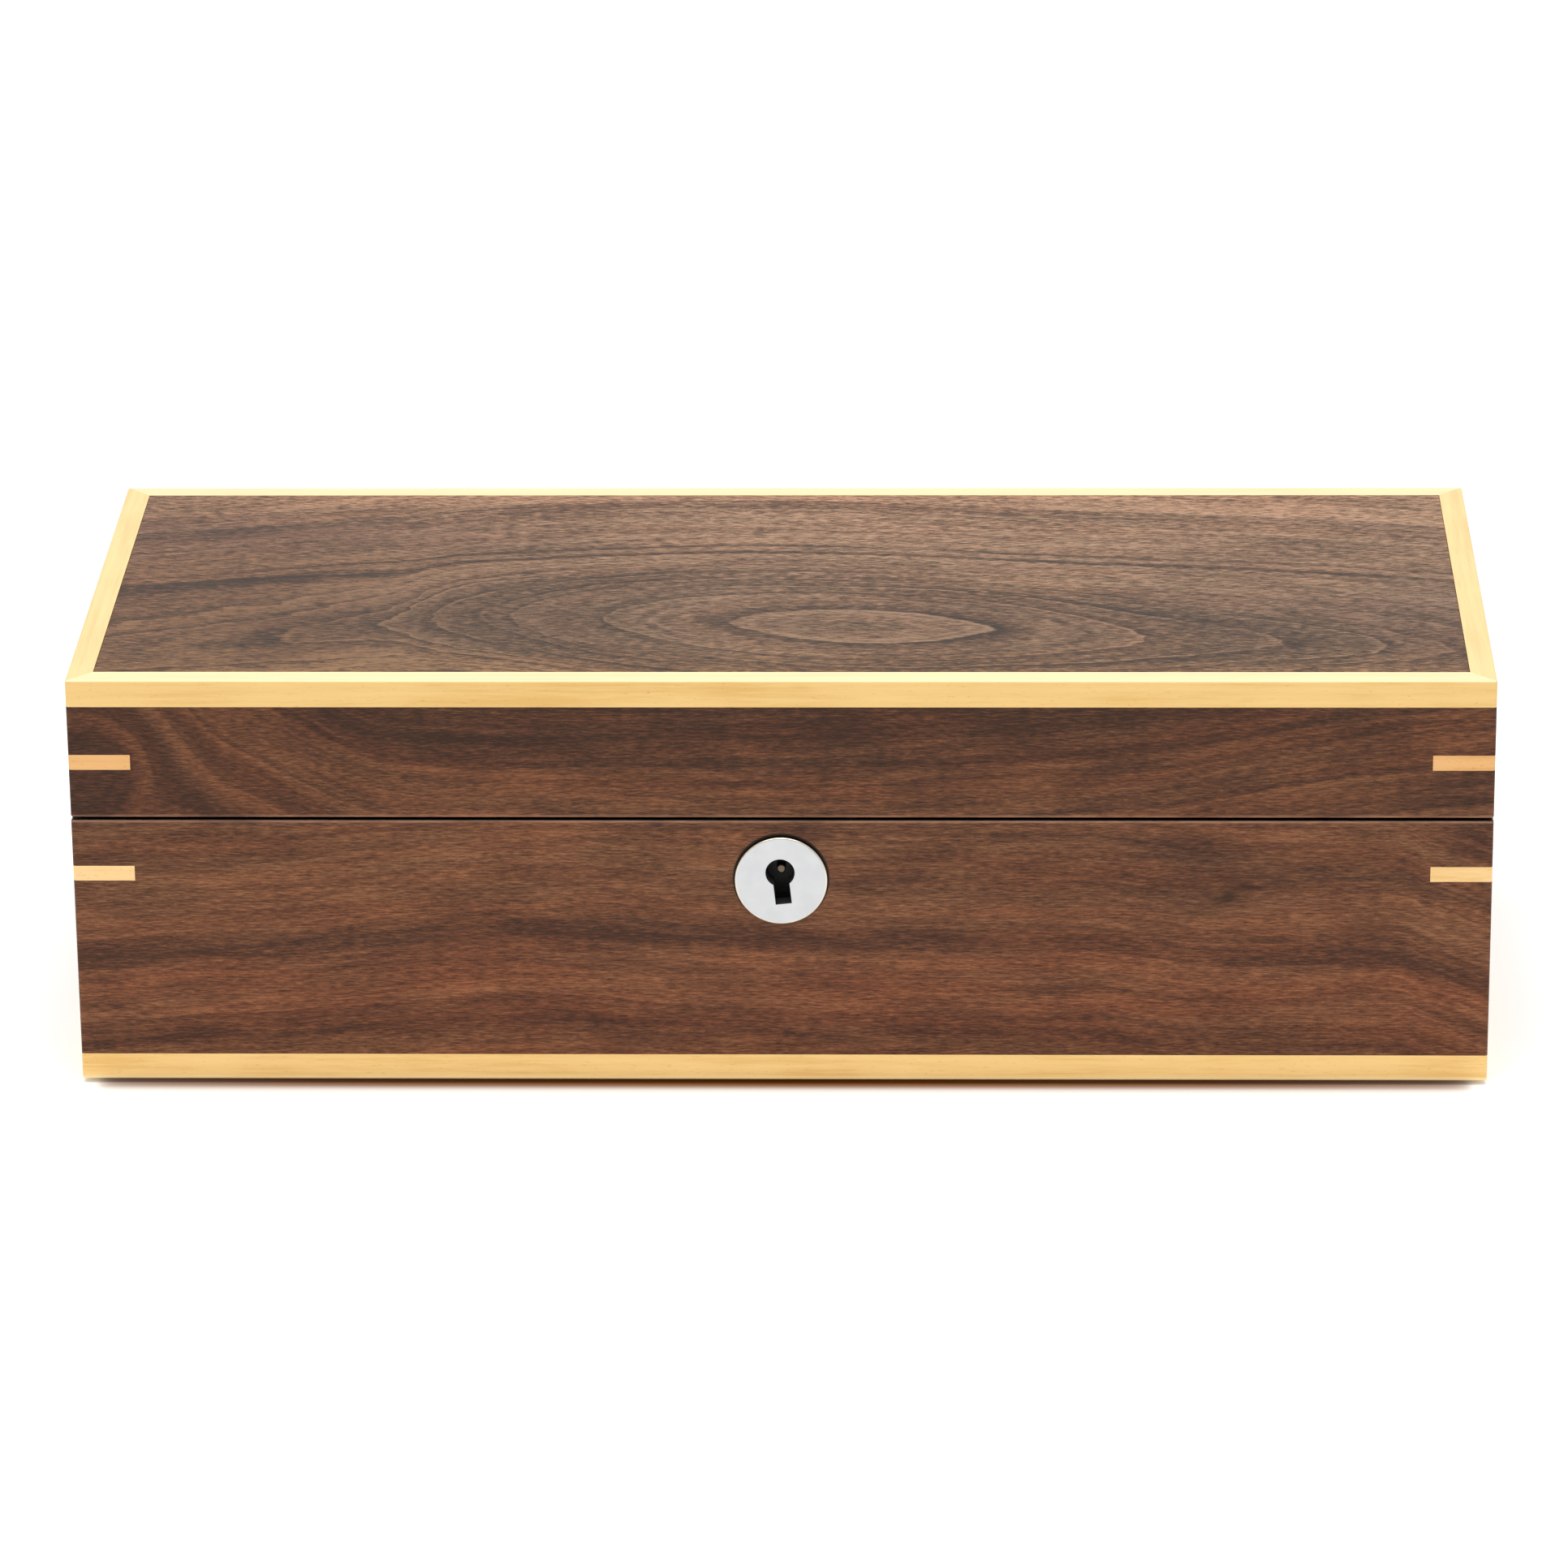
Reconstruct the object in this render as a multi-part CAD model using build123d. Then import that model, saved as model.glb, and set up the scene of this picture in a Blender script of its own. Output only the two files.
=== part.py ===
"""Inlaid wooden box: a hinged walnut box with light-wood edge banding, splined mitres and a box lock.

Frame: millimetres, +X along the box, +Y towards the hinges, +Z up. The keyhole faces -Y. The origin is the
centre of the underside of the felt that the box stands on. The lid is closed and the lock is unlocked.
"""
import math
import os

from build123d import *

# Box
LENGTH = 305.0
DEPTH = 127.0
WALL = 12.0
FELT_T = 1.0
FELT_INSET = 3.0
BAND_H = 6.0
BAND_W = 5.5
BASE_WALL_H = 54.5
SEAM_GAP = 0.6
LID_WALL_H = 25.3
VENEER_T = 0.6
CORNER_R = 0.6       # rounding of the outside vertical edges
ARRIS_R = 0.5        # rounding of the top and bottom edges of the banding
RIM_CHAMFER = 0.3    # easing of the two rims where lid and base meet
VENEER_CHAMFER = 0.2

# Heights
Z_BAND = FELT_T
Z_WALL = Z_BAND + BAND_H
Z_RIM = Z_WALL + BASE_WALL_H
Z_LID_RIM = Z_RIM + SEAM_GAP
Z_LID_WALL_TOP = Z_LID_RIM + LID_WALL_H
Z_TOP = Z_LID_WALL_TOP + BAND_H

# Corner splines: flat triangles of light wood let into saw kerfs across the mitres
SPLINE_T = 3.4
SPLINE_REACH = 13.3
SPLINE_Z = {"base": 49.2, "lid": Z_LID_RIM + LID_WALL_H / 2}

# Lining: fabric over card, standing proud of the base rim to locate the lid
LINING_T = 2.5
PAD_T = 4.0
LIP_H = 4.0
LIP_SETBACK = 0.5
LID_LINING_CLEAR = 1.5
LINING_FIT = 0.1

# Stop hinges
HINGE_X = 100.0
HINGE_LENGTH = 38.0
LEAF_REACH = 10.0
AXIS_BEHIND = 2.6    # pin axis behind the back of the box
KNUCKLE_R = 2.4
STOP_GAP = 0.05      # play left between the stop faces at the end of the travel
LID_KNUCKLE = 15.7
KNUCKLE_GAP = 0.15
HINGE_PIN_R = 1.0
HINGE_RUNNING = 0.05
PIN_HEAD = 0.3
OPEN_ANGLE = 95.0
AXIS_Y = DEPTH / 2 + AXIS_BEHIND
AXIS_Z = Z_RIM + SEAM_GAP / 2
HINGE_SCREW_PITCH = 13.0

# Wood screws
SCREW_HEAD_R = 2.1
SCREW_R = 1.1
SCREW_L = 9.0
SCREW_TIP = 2.0
RECESS_W = 0.5
RECESS_D = 0.6

# Lock
LOCK_Y = -DEPTH / 2 + WALL / 2
PLATE_L = 60.0       # selvedge and link plate
PLATE_W = 8.0
PLATE_T = 1.2
CASE_L = 47.2
CASE_T = 6.4
CASE_PLATE = 0.6
CASE_BOTTOM = 40.9
CASE_SIDE_FIT = 0.3
PLATE_SCREW_X = 26.0
BOLT_T = 1.8
BOLT_TRAVEL = 3.5
PILLAR_R = 1.0
PILLAR_FIT = 0.1
PILLARS = [(-7.0, 57.9), (7.5, 57.9), (-19.0, 44.5), (18.0, 44.5)]
HOOK_X = 14.8
HOOK_T = 1.6
HOOK_W = 4.4
HOOK_BOTTOM = 55.0
WINDOW_W = 2.4
WINDOW_Z = (56.2, 59.2)
HOOK_SLOT = (2.8, 5.6)
KEY_Z = 49.8         # height of the drill pin
DRILL_PIN_R = 1.0
DRILL_PIN_TIP = 1.5  # tip behind the front of the box
KEYHOLE_R = 3.15
KEYHOLE_SLOT_W = 3.5
KEYHOLE_DROP = 7.2
SPRING_T = 0.4
SPRING_W = 3.0

# Escutcheon, set a few degrees out of true
ESCUTCHEON_R = 10.0
ESCUTCHEON_T = 1.0
ESCUTCHEON_Z = 47.9
ESCUTCHEON_ROUND = 0.45
ESCUTCHEON_TURN = 6.0
SPIGOT_R = 6.5

SIDES = ("front", "back", "left", "right")
CORNERS = {"front_left": (-1, -1), "front_right": (1, -1), "back_left": (-1, 1), "back_right": (1, 1)}
FAR = 400.0


def block(x0, x1, y0, y1, z0, z1):
    """A box between two corners."""
    return Pos((x0 + x1) / 2, (y0 + y1) / 2, (z0 + z1) / 2) * Box(x1 - x0, y1 - y0, z1 - z0)


def centred(length, width, z0, z1):
    """A box centred on the Z axis."""
    return block(-length / 2, length / 2, -width / 2, width / 2, z0, z1)


def prism(points, z0, z1):
    """A plan outline extruded upwards from z0 to z1."""
    return Pos(0, 0, z0) * extrude(make_face(Polyline(*points, close=True)), z1 - z0)


def upright(points, y0, y1):
    """An outline in the XZ plane, extruded in Y from y0 to y1."""
    outline = make_face(Polyline(*[(x, 0, z) for x, z in points], close=True))
    return Pos(0, y0, 0) * extrude(outline, y1 - y0, dir=(0, 1, 0))


def rod(radius, x, z, y0, y1):
    """A round bar along Y."""
    return Pos(x, (y0 + y1) / 2, z) * Rot(90, 0, 0) * Cylinder(radius, y1 - y0)


def slot_along_x(x0, x1, z, half_height, y0, y1):
    """A round-ended slot through the thickness of a plate that stands in the XZ plane."""
    middle = block(x0 + half_height, x1 - half_height, y0, y1, z - half_height, z + half_height)
    ends = [rod(half_height, x, z, y0, y1) for x in (x0 + half_height, x1 - half_height)]
    return middle + ends[0] + ends[1]


def outside(z0, z1, ease_top=None, ease_bottom=None):
    """The box's outside between two heights, its vertical edges rounded and its top or bottom edge eased."""
    body = centred(LENGTH, DEPTH, z0, z1)
    body = fillet(body.edges().filter_by(Axis.Z), CORNER_R)
    if ease_top:
        body = ease_top(body.edges().group_by(Axis.Z)[-1])
    if ease_bottom:
        body = ease_bottom(body.edges().group_by(Axis.Z)[0])
    return body


def arris(edges):
    return fillet(edges, ARRIS_R)


def rim(edges):
    return chamfer(edges, RIM_CHAMFER)


def mitre_zone(side):
    """The part of the plan that belongs to one side of a frame with 45 degree mitres."""
    x, y = LENGTH / 2 + FAR, DEPTH / 2 + FAR
    inner = LENGTH / 2 - DEPTH / 2
    if side in ("front", "back"):
        s = -1 if side == "front" else 1
        points = [(-x, s * y), (x, s * y), (inner, 0), (-inner, 0)]
    else:
        s = -1 if side == "left" else 1
        points = [(s * x, -y), (s * x, y), (s * inner, 0)]
    return prism(points, -FAR, FAR)


def mitred_frame(shell, width):
    """Cuts a shell into a frame of four mitred sides of the given width."""
    ring = shell - centred(LENGTH - 2 * width, DEPTH - 2 * width, -FAR, FAR)
    return {side: ring & mitre_zone(side) for side in SIDES}


def spline_blank(corner, z, shell):
    """One corner spline: the plan triangle across a mitre, flush with the outside."""
    sx, sy = CORNERS[corner]
    x, y = sx * LENGTH / 2, sy * DEPTH / 2
    points = [(x, y), (x - sx * SPLINE_REACH, y), (x, y - sy * SPLINE_REACH)]
    return prism(points, z - SPLINE_T / 2, z + SPLINE_T / 2) & shell


def joined(solids):
    """Separate solids as one shape."""
    return Compound(children=list(solids))


# Screws

def screw_body():
    """A countersunk wood screw without its recess, head up at the origin, pointing down."""
    neck = SCREW_HEAD_R - SCREW_R
    outline = [(0, 0), (SCREW_HEAD_R, 0), (SCREW_R, -neck), (SCREW_R, SCREW_TIP - SCREW_L), (0, -SCREW_L)]
    face = make_face(Polyline(*[(r, 0, z) for r, z in outline], close=True))
    return revolve(face, Axis.Z)


def screw():
    """A wood screw with a cross recess in its head."""
    arm = SCREW_HEAD_R * 1.2
    cross = centred(arm, RECESS_W, -RECESS_D, 1) + centred(RECESS_W, arm, -RECESS_D, 1)
    return screw_body() - cross


def screws_at(places, shape, up=False):
    """Copies of a screw at the given places, pointing down, or up into the lid."""
    turn = Rot(180, 0, 0) if up else Rot(0, 0, 0)
    return [Pos(*place) * turn * shape for place in places]


# Hinges

def hinge_places(z):
    y = AXIS_Y - KNUCKLE_R - STOP_GAP - LEAF_REACH / 2
    return [
        (sx * HINGE_X + dx, y, z)
        for sx in (-1, 1)
        for dx in (-HINGE_SCREW_PITCH, 0, HINGE_SCREW_PITCH)
    ]


def leaf_plate(x, up):
    """The flat of one leaf, let into the rim, from its stop face forwards."""
    y1 = AXIS_Y - KNUCKLE_R - STOP_GAP
    z0, z1 = (Z_LID_RIM, AXIS_Z + KNUCKLE_R) if up else (AXIS_Z - KNUCKLE_R, Z_RIM)
    half = HINGE_LENGTH / 2
    return block(x - half, x + half, y1 - LEAF_REACH, y1, z0, z1)


def knuckle(x0, x1, up):
    """A knuckle on the pin axis: the round, the neck to the leaf and the square stop corner behind."""
    s = 1 if up else -1
    lean = math.radians(OPEN_ANGLE - 90)
    along = (KNUCKLE_R * math.sin(lean), -s * KNUCKLE_R * math.cos(lean))
    across = (KNUCKLE_R * math.cos(lean), s * KNUCKLE_R * math.sin(lean))
    corner = [(0, 0), along, (along[0] + across[0], along[1] + across[1]), across]
    middle = (x0 + x1) / 2
    barrel = Pos(middle, AXIS_Y, AXIS_Z) * Rot(0, 90, 0) * Cylinder(KNUCKLE_R, x1 - x0)
    points = [(x0, AXIS_Y + y, AXIS_Z + z) for y, z in corner]
    stop = extrude(make_face(Polyline(*points, close=True)), x1 - x0, dir=(1, 0, 0))
    z0, z1 = (Z_LID_RIM, AXIS_Z + KNUCKLE_R) if up else (AXIS_Z - KNUCKLE_R, Z_RIM)
    neck = block(x0, x1, AXIS_Y - KNUCKLE_R - STOP_GAP, AXIS_Y, z0, z1)
    return barrel + stop + neck


def hinge_leaf(x, up):
    """One leaf with its knuckles, its pin bore and its screw holes."""
    half, inner = HINGE_LENGTH / 2, LID_KNUCKLE / 2
    spans = [(-inner, inner)] if up else [(-half, -inner - KNUCKLE_GAP), (inner + KNUCKLE_GAP, half)]
    leaf = leaf_plate(x, up)
    for x0, x1 in spans:
        leaf += knuckle(x + x0, x + x1, up)
    bore = HINGE_PIN_R + (HINGE_RUNNING if up else 0)
    leaf -= Pos(x, AXIS_Y, AXIS_Z) * Rot(0, 90, 0) * Cylinder(bore, HINGE_LENGTH + 2)
    z = Z_LID_RIM if up else Z_RIM
    places = [place for place in hinge_places(z) if abs(place[0] - x) < HINGE_LENGTH]
    for hole in screws_at(places, screw_body(), up):
        leaf -= hole
    return leaf


def hinge_pin(x):
    pin = Cylinder(HINGE_PIN_R, HINGE_LENGTH + 2 * PIN_HEAD)
    pin = fillet(pin.edges(), PIN_HEAD)
    return Pos(x, AXIS_Y, AXIS_Z) * Rot(0, 90, 0) * pin


# Lock

def plate_blank(z0, z1):
    """The round-ended outline shared by the selvedge, the link plate and the recesses for them."""
    return Pos(0, LOCK_Y, z0) * extrude(SlotOverall(PLATE_L, PLATE_W), z1 - z0)


def plate_screw_places(z):
    return [(sx * PLATE_SCREW_X, LOCK_Y, z) for sx in (-1, 1)]


def keyhole(y0, y1, x, z):
    """A keyhole through the thickness: a round over a plain slot."""
    slot = block(x - KEYHOLE_SLOT_W / 2, x + KEYHOLE_SLOT_W / 2, y0, y1, z - KEYHOLE_DROP, z)
    return rod(KEYHOLE_R, x, z, y0, y1) + slot


def lock_case():
    """Back plate, rim and selvedge folded from one sheet, with slots for the link hooks."""
    front, back = LOCK_Y - CASE_T / 2, LOCK_Y + CASE_T / 2
    top = Z_RIM - PLATE_T
    half, t = CASE_L / 2, CASE_PLATE
    case = block(-half, half, front + t, back, CASE_BOTTOM, top)
    case -= block(t - half, half - t, front, back - t, CASE_BOTTOM + t, top)
    case += plate_blank(top, Z_RIM)
    for sx in (-1, 1):
        case -= Pos(sx * HOOK_X, LOCK_Y, Z_RIM) * Box(HOOK_SLOT[0], HOOK_SLOT[1], 3 * PLATE_T)
    for x, z in PILLARS:
        case -= rod(PILLAR_R, x, z, back - 2 * t, back + t)
    case -= rod(DRILL_PIN_R, 0, KEY_Z, back - 2 * t, back + t)
    for hole in screws_at(plate_screw_places(Z_RIM), screw_body()):
        case -= hole
    return case


def lock_cap():
    """Front cover of the lock, with its own keyhole."""
    front = LOCK_Y - CASE_T / 2
    cap = block(-CASE_L / 2, CASE_L / 2, front, front + CASE_PLATE, CASE_BOTTOM, Z_RIM - PLATE_T)
    for x, z in PILLARS:
        cap -= rod(PILLAR_R, x, z, front - 1, front + 1)
    return cap - keyhole(front - 1, front + 1, 0, KEY_Z)


def lock_bolt():
    """Sliding bolt: two fingers for the link hooks, a talon for the key and two slots on the pillars."""
    top, bar, foot, low = 59.8, 55.2, 54.4, 52.0
    finger = (56.6, 58.8)
    outline = [
        (-22.4, low), (-11.4, low), (-11.4, bar), (-3.75, bar), (-3.75, 57.0), (0.25, 57.0), (0.25, bar),
        (3.2, bar), (4.0, 55.8), (4.8, bar), (6.7, bar), (7.5, 55.8), (8.3, bar), (10.1, bar),
        (10.1, finger[0]), (13.4, finger[0]), (13.4, finger[1]), (10.1, finger[1]), (10.1, top),
        (-13.6, top), (-13.6, foot), (-19.9, foot), (-19.9, finger[0]), (-16.2, finger[0]),
        (-16.2, finger[1]), (-22.4, finger[1]),
    ]
    y0, y1 = LOCK_Y - BOLT_T / 2, LOCK_Y + BOLT_T / 2
    bolt = upright(outline, y0, y1)
    r = PILLAR_R + PILLAR_FIT
    for x, z in PILLARS[:2]:
        bolt -= slot_along_x(x - BOLT_TRAVEL - r, x + r, z, r, y0 - 1, y1 + 1)
    return bolt


def lock_spring():
    """Leaf spring on the right of the case, its tip resting in a notch under the bolt."""
    wall, t = CASE_L / 2 - CASE_PLATE, SPRING_T
    outline = [
        (wall, 46.0), (wall, 53.2), (8.6, 54.9), (7.5, 55.6), (6.2, 54.6), (6.2, 54.0), (7.5, 54.8),
        (8.5, 54.2), (wall - t, 52.8), (wall - t, 46.0),
    ]
    return upright(outline, LOCK_Y - SPRING_W / 2, LOCK_Y + SPRING_W / 2)


def lock_pillars():
    """Riveted pillars that hold case and cap together and guide the bolt."""
    return joined(rod(PILLAR_R, x, z, LOCK_Y - CASE_T / 2, LOCK_Y + CASE_T / 2) for x, z in PILLARS)


def drill_pin():
    """The pin that a barrel key turns on, with a domed tip."""
    back, tip = LOCK_Y + CASE_T / 2, -DEPTH / 2 + DRILL_PIN_TIP
    pin = rod(DRILL_PIN_R, 0, KEY_Z, tip, back)
    return fillet(pin.edges().group_by(Axis.Y)[0], DRILL_PIN_R * 0.4)


def link_plate():
    """Plate in the lid rim that carries the two link hooks."""
    plate = plate_blank(Z_LID_RIM, Z_LID_RIM + PLATE_T)
    for hole in screws_at(plate_screw_places(Z_LID_RIM), screw_body(), up=True):
        plate -= hole
    for sx in (-1, 1):
        plate -= Pos(sx * HOOK_X, LOCK_Y, Z_LID_RIM) * Box(HOOK_T, HOOK_W, 4 * PLATE_T)
    return plate


def link_hook(sx):
    """A loop riveted into the link plate, with a window for a finger of the bolt."""
    x, half = sx * HOOK_X, HOOK_T / 2
    hook = block(x - half, x + half, LOCK_Y - HOOK_W / 2, LOCK_Y + HOOK_W / 2,
                 HOOK_BOTTOM, Z_LID_RIM + PLATE_T)
    window = block(x - HOOK_T, x + HOOK_T, LOCK_Y - WINDOW_W / 2, LOCK_Y + WINDOW_W / 2, *WINDOW_Z)
    return hook - window


def escutcheon():
    """Round keyhole plate with a spigot pressed into the front wall."""
    front = -DEPTH / 2
    back = LOCK_Y - CASE_T / 2
    disc = rod(ESCUTCHEON_R, 0, 0, front - ESCUTCHEON_T, front)
    disc = fillet(disc.edges().group_by(Axis.Y)[0], ESCUTCHEON_ROUND)
    plate = disc + rod(SPIGOT_R, 0, 0, front, back)
    plate -= keyhole(front - 2, back + 1, 0, KEY_Z - ESCUTCHEON_Z)
    return Pos(0, 0, ESCUTCHEON_Z) * Rot(0, -ESCUTCHEON_TURN, 0) * plate


# Woodwork

def base_walls():
    shell = outside(Z_WALL, Z_RIM, ease_top=rim)
    walls = mitred_frame(shell, WALL)
    splines = {c: spline_blank(c, SPLINE_Z["base"], shell) for c in CORNERS}
    front, back = LOCK_Y - CASE_T / 2, LOCK_Y + CASE_T / 2
    half = CASE_L / 2 + CASE_SIDE_FIT
    walls["front"] -= block(-half, half, front, back, CASE_BOTTOM - CASE_SIDE_FIT, Z_RIM)
    walls["front"] -= plate_blank(Z_RIM - PLATE_T, Z_RIM + 1)
    walls["front"] -= rod(SPIGOT_R, 0, ESCUTCHEON_Z, -DEPTH / 2 - 1, front)
    for hole in screws_at(plate_screw_places(Z_RIM), screw_body()):
        walls["front"] -= hole
    for sx in (-1, 1):
        walls["back"] -= leaf_plate(sx * HINGE_X, up=False)
    for hole in screws_at(hinge_places(Z_RIM), screw_body()):
        walls["back"] -= hole
    return walls, splines


def lid_walls():
    shell = outside(Z_LID_RIM, Z_LID_WALL_TOP, ease_bottom=rim)
    walls = mitred_frame(shell, WALL)
    splines = {c: spline_blank(c, SPLINE_Z["lid"], shell) for c in CORNERS}
    walls["front"] -= plate_blank(Z_LID_RIM - 1, Z_LID_RIM + PLATE_T)
    for hole in screws_at(plate_screw_places(Z_LID_RIM), screw_body(), up=True):
        walls["front"] -= hole
    for sx in (-1, 1):
        walls["back"] -= leaf_plate(sx * HINGE_X, up=True)
    for hole in screws_at(hinge_places(Z_LID_RIM), screw_body(), up=True):
        walls["back"] -= hole
    return walls, splines


def panel(z0, z1):
    """A board that fills the space inside the banding."""
    return centred(LENGTH - 2 * BAND_W, DEPTH - 2 * BAND_W, z0, z1)


def top_veneer():
    sheet = panel(Z_TOP - VENEER_T, Z_TOP)
    return chamfer(sheet.edges().group_by(Axis.Z)[-1], VENEER_CHAMFER)


def felt():
    return centred(LENGTH - 2 * FELT_INSET, DEPTH - 2 * FELT_INSET, 0, FELT_T)


# Lining

def base_linings():
    """Wall linings that stand on the floor pad, their tops set back so that the lid clears them."""
    x, y = LENGTH / 2 - WALL, DEPTH / 2 - WALL
    z0, z1 = Z_WALL + PAD_T, Z_RIM + LIP_H
    ring = centred(2 * x, 2 * y, z0, Z_RIM)
    ring += centred(2 * (x - LIP_SETBACK), 2 * (y - LIP_SETBACK), Z_RIM, z1)
    ring -= centred(2 * (x - LINING_T), 2 * (y - LINING_T), z0 - 1, z1 + 1)
    return butt_frame(ring, x, y)


def lid_linings():
    """Wall linings of the lid, from above the lip of the base to the lid pad."""
    x, y = LENGTH / 2 - WALL, DEPTH / 2 - WALL
    z0, z1 = Z_RIM + LIP_H + LID_LINING_CLEAR, Z_LID_WALL_TOP - PAD_T
    ring = centred(2 * x, 2 * y, z0, z1)
    ring -= centred(2 * (x - LINING_T), 2 * (y - LINING_T), z0 - 1, z1 + 1)
    return butt_frame(ring, x, y)


def butt_frame(ring, x, y):
    """Cuts a lining ring into long front and back pieces and short ends between them."""
    inner = y - LINING_T
    parts = {}
    for side, s in (("front", -1), ("back", 1)):
        parts[side] = ring & block(-x, x, min(s * inner, s * y), max(s * inner, s * y), -FAR, FAR)
    for side, s in (("left", -1), ("right", 1)):
        edge = x - LINING_T
        ends = block(min(s * edge, s * x), max(s * edge, s * x), LINING_FIT - inner, inner - LINING_FIT, -FAR, FAR)
        parts[side] = ring & ends
    return parts


def pad(z0, z1):
    return centred(LENGTH - 2 * WALL, DEPTH - 2 * WALL, z0, z1)


def build():
    """Every node of the box by name."""
    nodes = {}
    walls, splines = base_walls()
    for side in SIDES:
        nodes[f"base_wall_{side}"] = walls[side]
    for corner, key in splines.items():
        nodes[f"base_spline_{corner}"] = key
    walls, lid_splines = lid_walls()
    for side in SIDES:
        nodes[f"lid_wall_{side}"] = walls[side]
    for corner, key in lid_splines.items():
        nodes[f"lid_spline_{corner}"] = key
    for part, keys in (("base", splines), ("lid", lid_splines)):
        for corner, key in keys.items():
            for side in corner.split("_"):
                nodes[f"{part}_wall_{side}"] -= key

    bands = mitred_frame(outside(Z_BAND, Z_WALL, ease_bottom=arris), BAND_W)
    lid_bands = mitred_frame(outside(Z_LID_WALL_TOP, Z_TOP, ease_top=arris), BAND_W)
    linings, lid_lining = base_linings(), lid_linings()
    for side in SIDES:
        nodes[f"base_banding_{side}"] = bands[side]
        nodes[f"lid_banding_{side}"] = lid_bands[side]
        nodes[f"base_lining_{side}"] = linings[side]
        nodes[f"lid_lining_{side}"] = lid_lining[side]
    nodes["base_floor_panel"] = panel(Z_BAND, Z_WALL)
    nodes["base_felt"] = felt()
    nodes["base_floor_pad"] = pad(Z_WALL, Z_WALL + PAD_T)
    nodes["lid_top_core"] = panel(Z_LID_WALL_TOP, Z_TOP - VENEER_T)
    nodes["lid_top_veneer"] = top_veneer()
    nodes["lid_top_pad"] = pad(Z_LID_WALL_TOP - PAD_T, Z_LID_WALL_TOP)

    for name, sx in (("left", -1), ("right", 1)):
        nodes[f"hinge_{name}_base_leaf"] = hinge_leaf(sx * HINGE_X, up=False)
        nodes[f"hinge_{name}_lid_leaf"] = hinge_leaf(sx * HINGE_X, up=True)
        nodes[f"hinge_{name}_pin"] = hinge_pin(sx * HINGE_X)
    nodes["hinge_base_screws"] = joined(screws_at(hinge_places(Z_RIM), screw()))
    nodes["hinge_lid_screws"] = joined(screws_at(hinge_places(Z_LID_RIM), screw(), up=True))

    nodes["escutcheon"] = escutcheon()
    nodes["lock_case"] = lock_case()
    nodes["lock_cap"] = lock_cap()
    nodes["lock_bolt"] = lock_bolt()
    nodes["lock_spring"] = lock_spring()
    nodes["lock_pillars"] = lock_pillars()
    nodes["lock_drill_pin"] = drill_pin()
    nodes["lock_screws"] = joined(screws_at(plate_screw_places(Z_RIM), screw()))
    nodes["link_plate"] = link_plate()
    nodes["link_hooks"] = joined(link_hook(sx) for sx in (-1, 1))
    nodes["link_screws"] = joined(screws_at(plate_screw_places(Z_LID_RIM), screw(), up=True))
    return nodes


os.makedirs("parts", exist_ok=True)
for name, shape in build().items():
    export_step(shape, f"parts/{name}.step")
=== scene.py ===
"""The looks of the inlaid wooden box: woods, metals, lining, floor, light and camera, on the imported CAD."""
import math

import bmesh
import bpy
from mathutils import Matrix, Vector, noise


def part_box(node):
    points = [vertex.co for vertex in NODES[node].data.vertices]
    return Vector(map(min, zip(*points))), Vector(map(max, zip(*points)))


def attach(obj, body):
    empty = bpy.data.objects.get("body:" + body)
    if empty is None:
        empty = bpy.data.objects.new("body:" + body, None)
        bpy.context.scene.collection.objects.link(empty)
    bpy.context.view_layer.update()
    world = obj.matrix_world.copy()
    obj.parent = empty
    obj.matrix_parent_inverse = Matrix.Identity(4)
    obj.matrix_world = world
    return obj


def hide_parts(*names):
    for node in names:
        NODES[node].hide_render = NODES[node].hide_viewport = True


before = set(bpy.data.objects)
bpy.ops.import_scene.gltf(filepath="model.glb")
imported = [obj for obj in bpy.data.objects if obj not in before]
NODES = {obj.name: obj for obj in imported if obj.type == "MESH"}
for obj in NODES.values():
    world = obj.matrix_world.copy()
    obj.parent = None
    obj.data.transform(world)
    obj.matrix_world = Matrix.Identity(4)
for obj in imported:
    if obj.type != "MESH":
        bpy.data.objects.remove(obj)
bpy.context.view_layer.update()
MM = 0.001
SIDES = ("front", "back", "left", "right")

# Outer faces of the walls from the middle, by axis
OUTER = [-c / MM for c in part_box("base_wall_front")[0]]

# Heights where the painted highlight near a rim starts and is full, and where the painted shade of the seam
# on the rim face is full
LID_SEAM_LIGHT, BASE_SEAM_LIGHT = (63.0, 62.3, 62.12), (60.7, 61.3, 61.45)

# How far in from the outer face of a wall the painted highlight and the near-black painted shade of a rim
# start to show, and are full
SKIN = (2.1, 1.3)

# Heights where painted light on the lid's top face, and a painted highlight on the arris at the foot of the
# box, start and are full
TOP_FACE, FOOT_ARRIS = (92.9, 93.35), (2.4, 1.2)

# The keyhole plate: height of its middle, and the middle and radius of the painted shadow round it on the
# wall
PLATE_HEIGHT = 47.9
PLATE_GAP_SHADOW = (0.0, 48.15, 10.55)

# From the middle of the keyhole plate: where the painted highlight on its rim and the painted shade on its
# edge start and are full. Then how far out the painted shade in the keyhole reaches, from none to full, and
# the depths where it starts and is full.
PLATE_RIM_HIGHLIGHT, PLATE_EDGE_SHADE = (9.45, 9.85), (9.90, 9.97)
KEYHOLE_REACH, KEYHOLE_DEPTH = (8.0, 7.0), (-64.42, -64.25)

# Height below which the lock's selvedge ends and its dark case starts
BELOW_SELVEDGE = (60.32, 60.22)

# Camera: where the box was seen from
CAMERA_AT = (0.0430, -1.5443, 0.6437)
CAMERA_DOWN, CAMERA_TURN, CAMERA_ROLL = 21.173, 1.632, -0.550
CAMERA_LENS = 170.6

# Screws, from the middle of the box along it, and where the painted shade round each head starts and is full
HINGE_SCREWS, LOCK_SCREWS = (87.0, 100.0, 113.0), (26.0,)
SCREW_GAP_SHADE = (1.82, 2.02)

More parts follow.
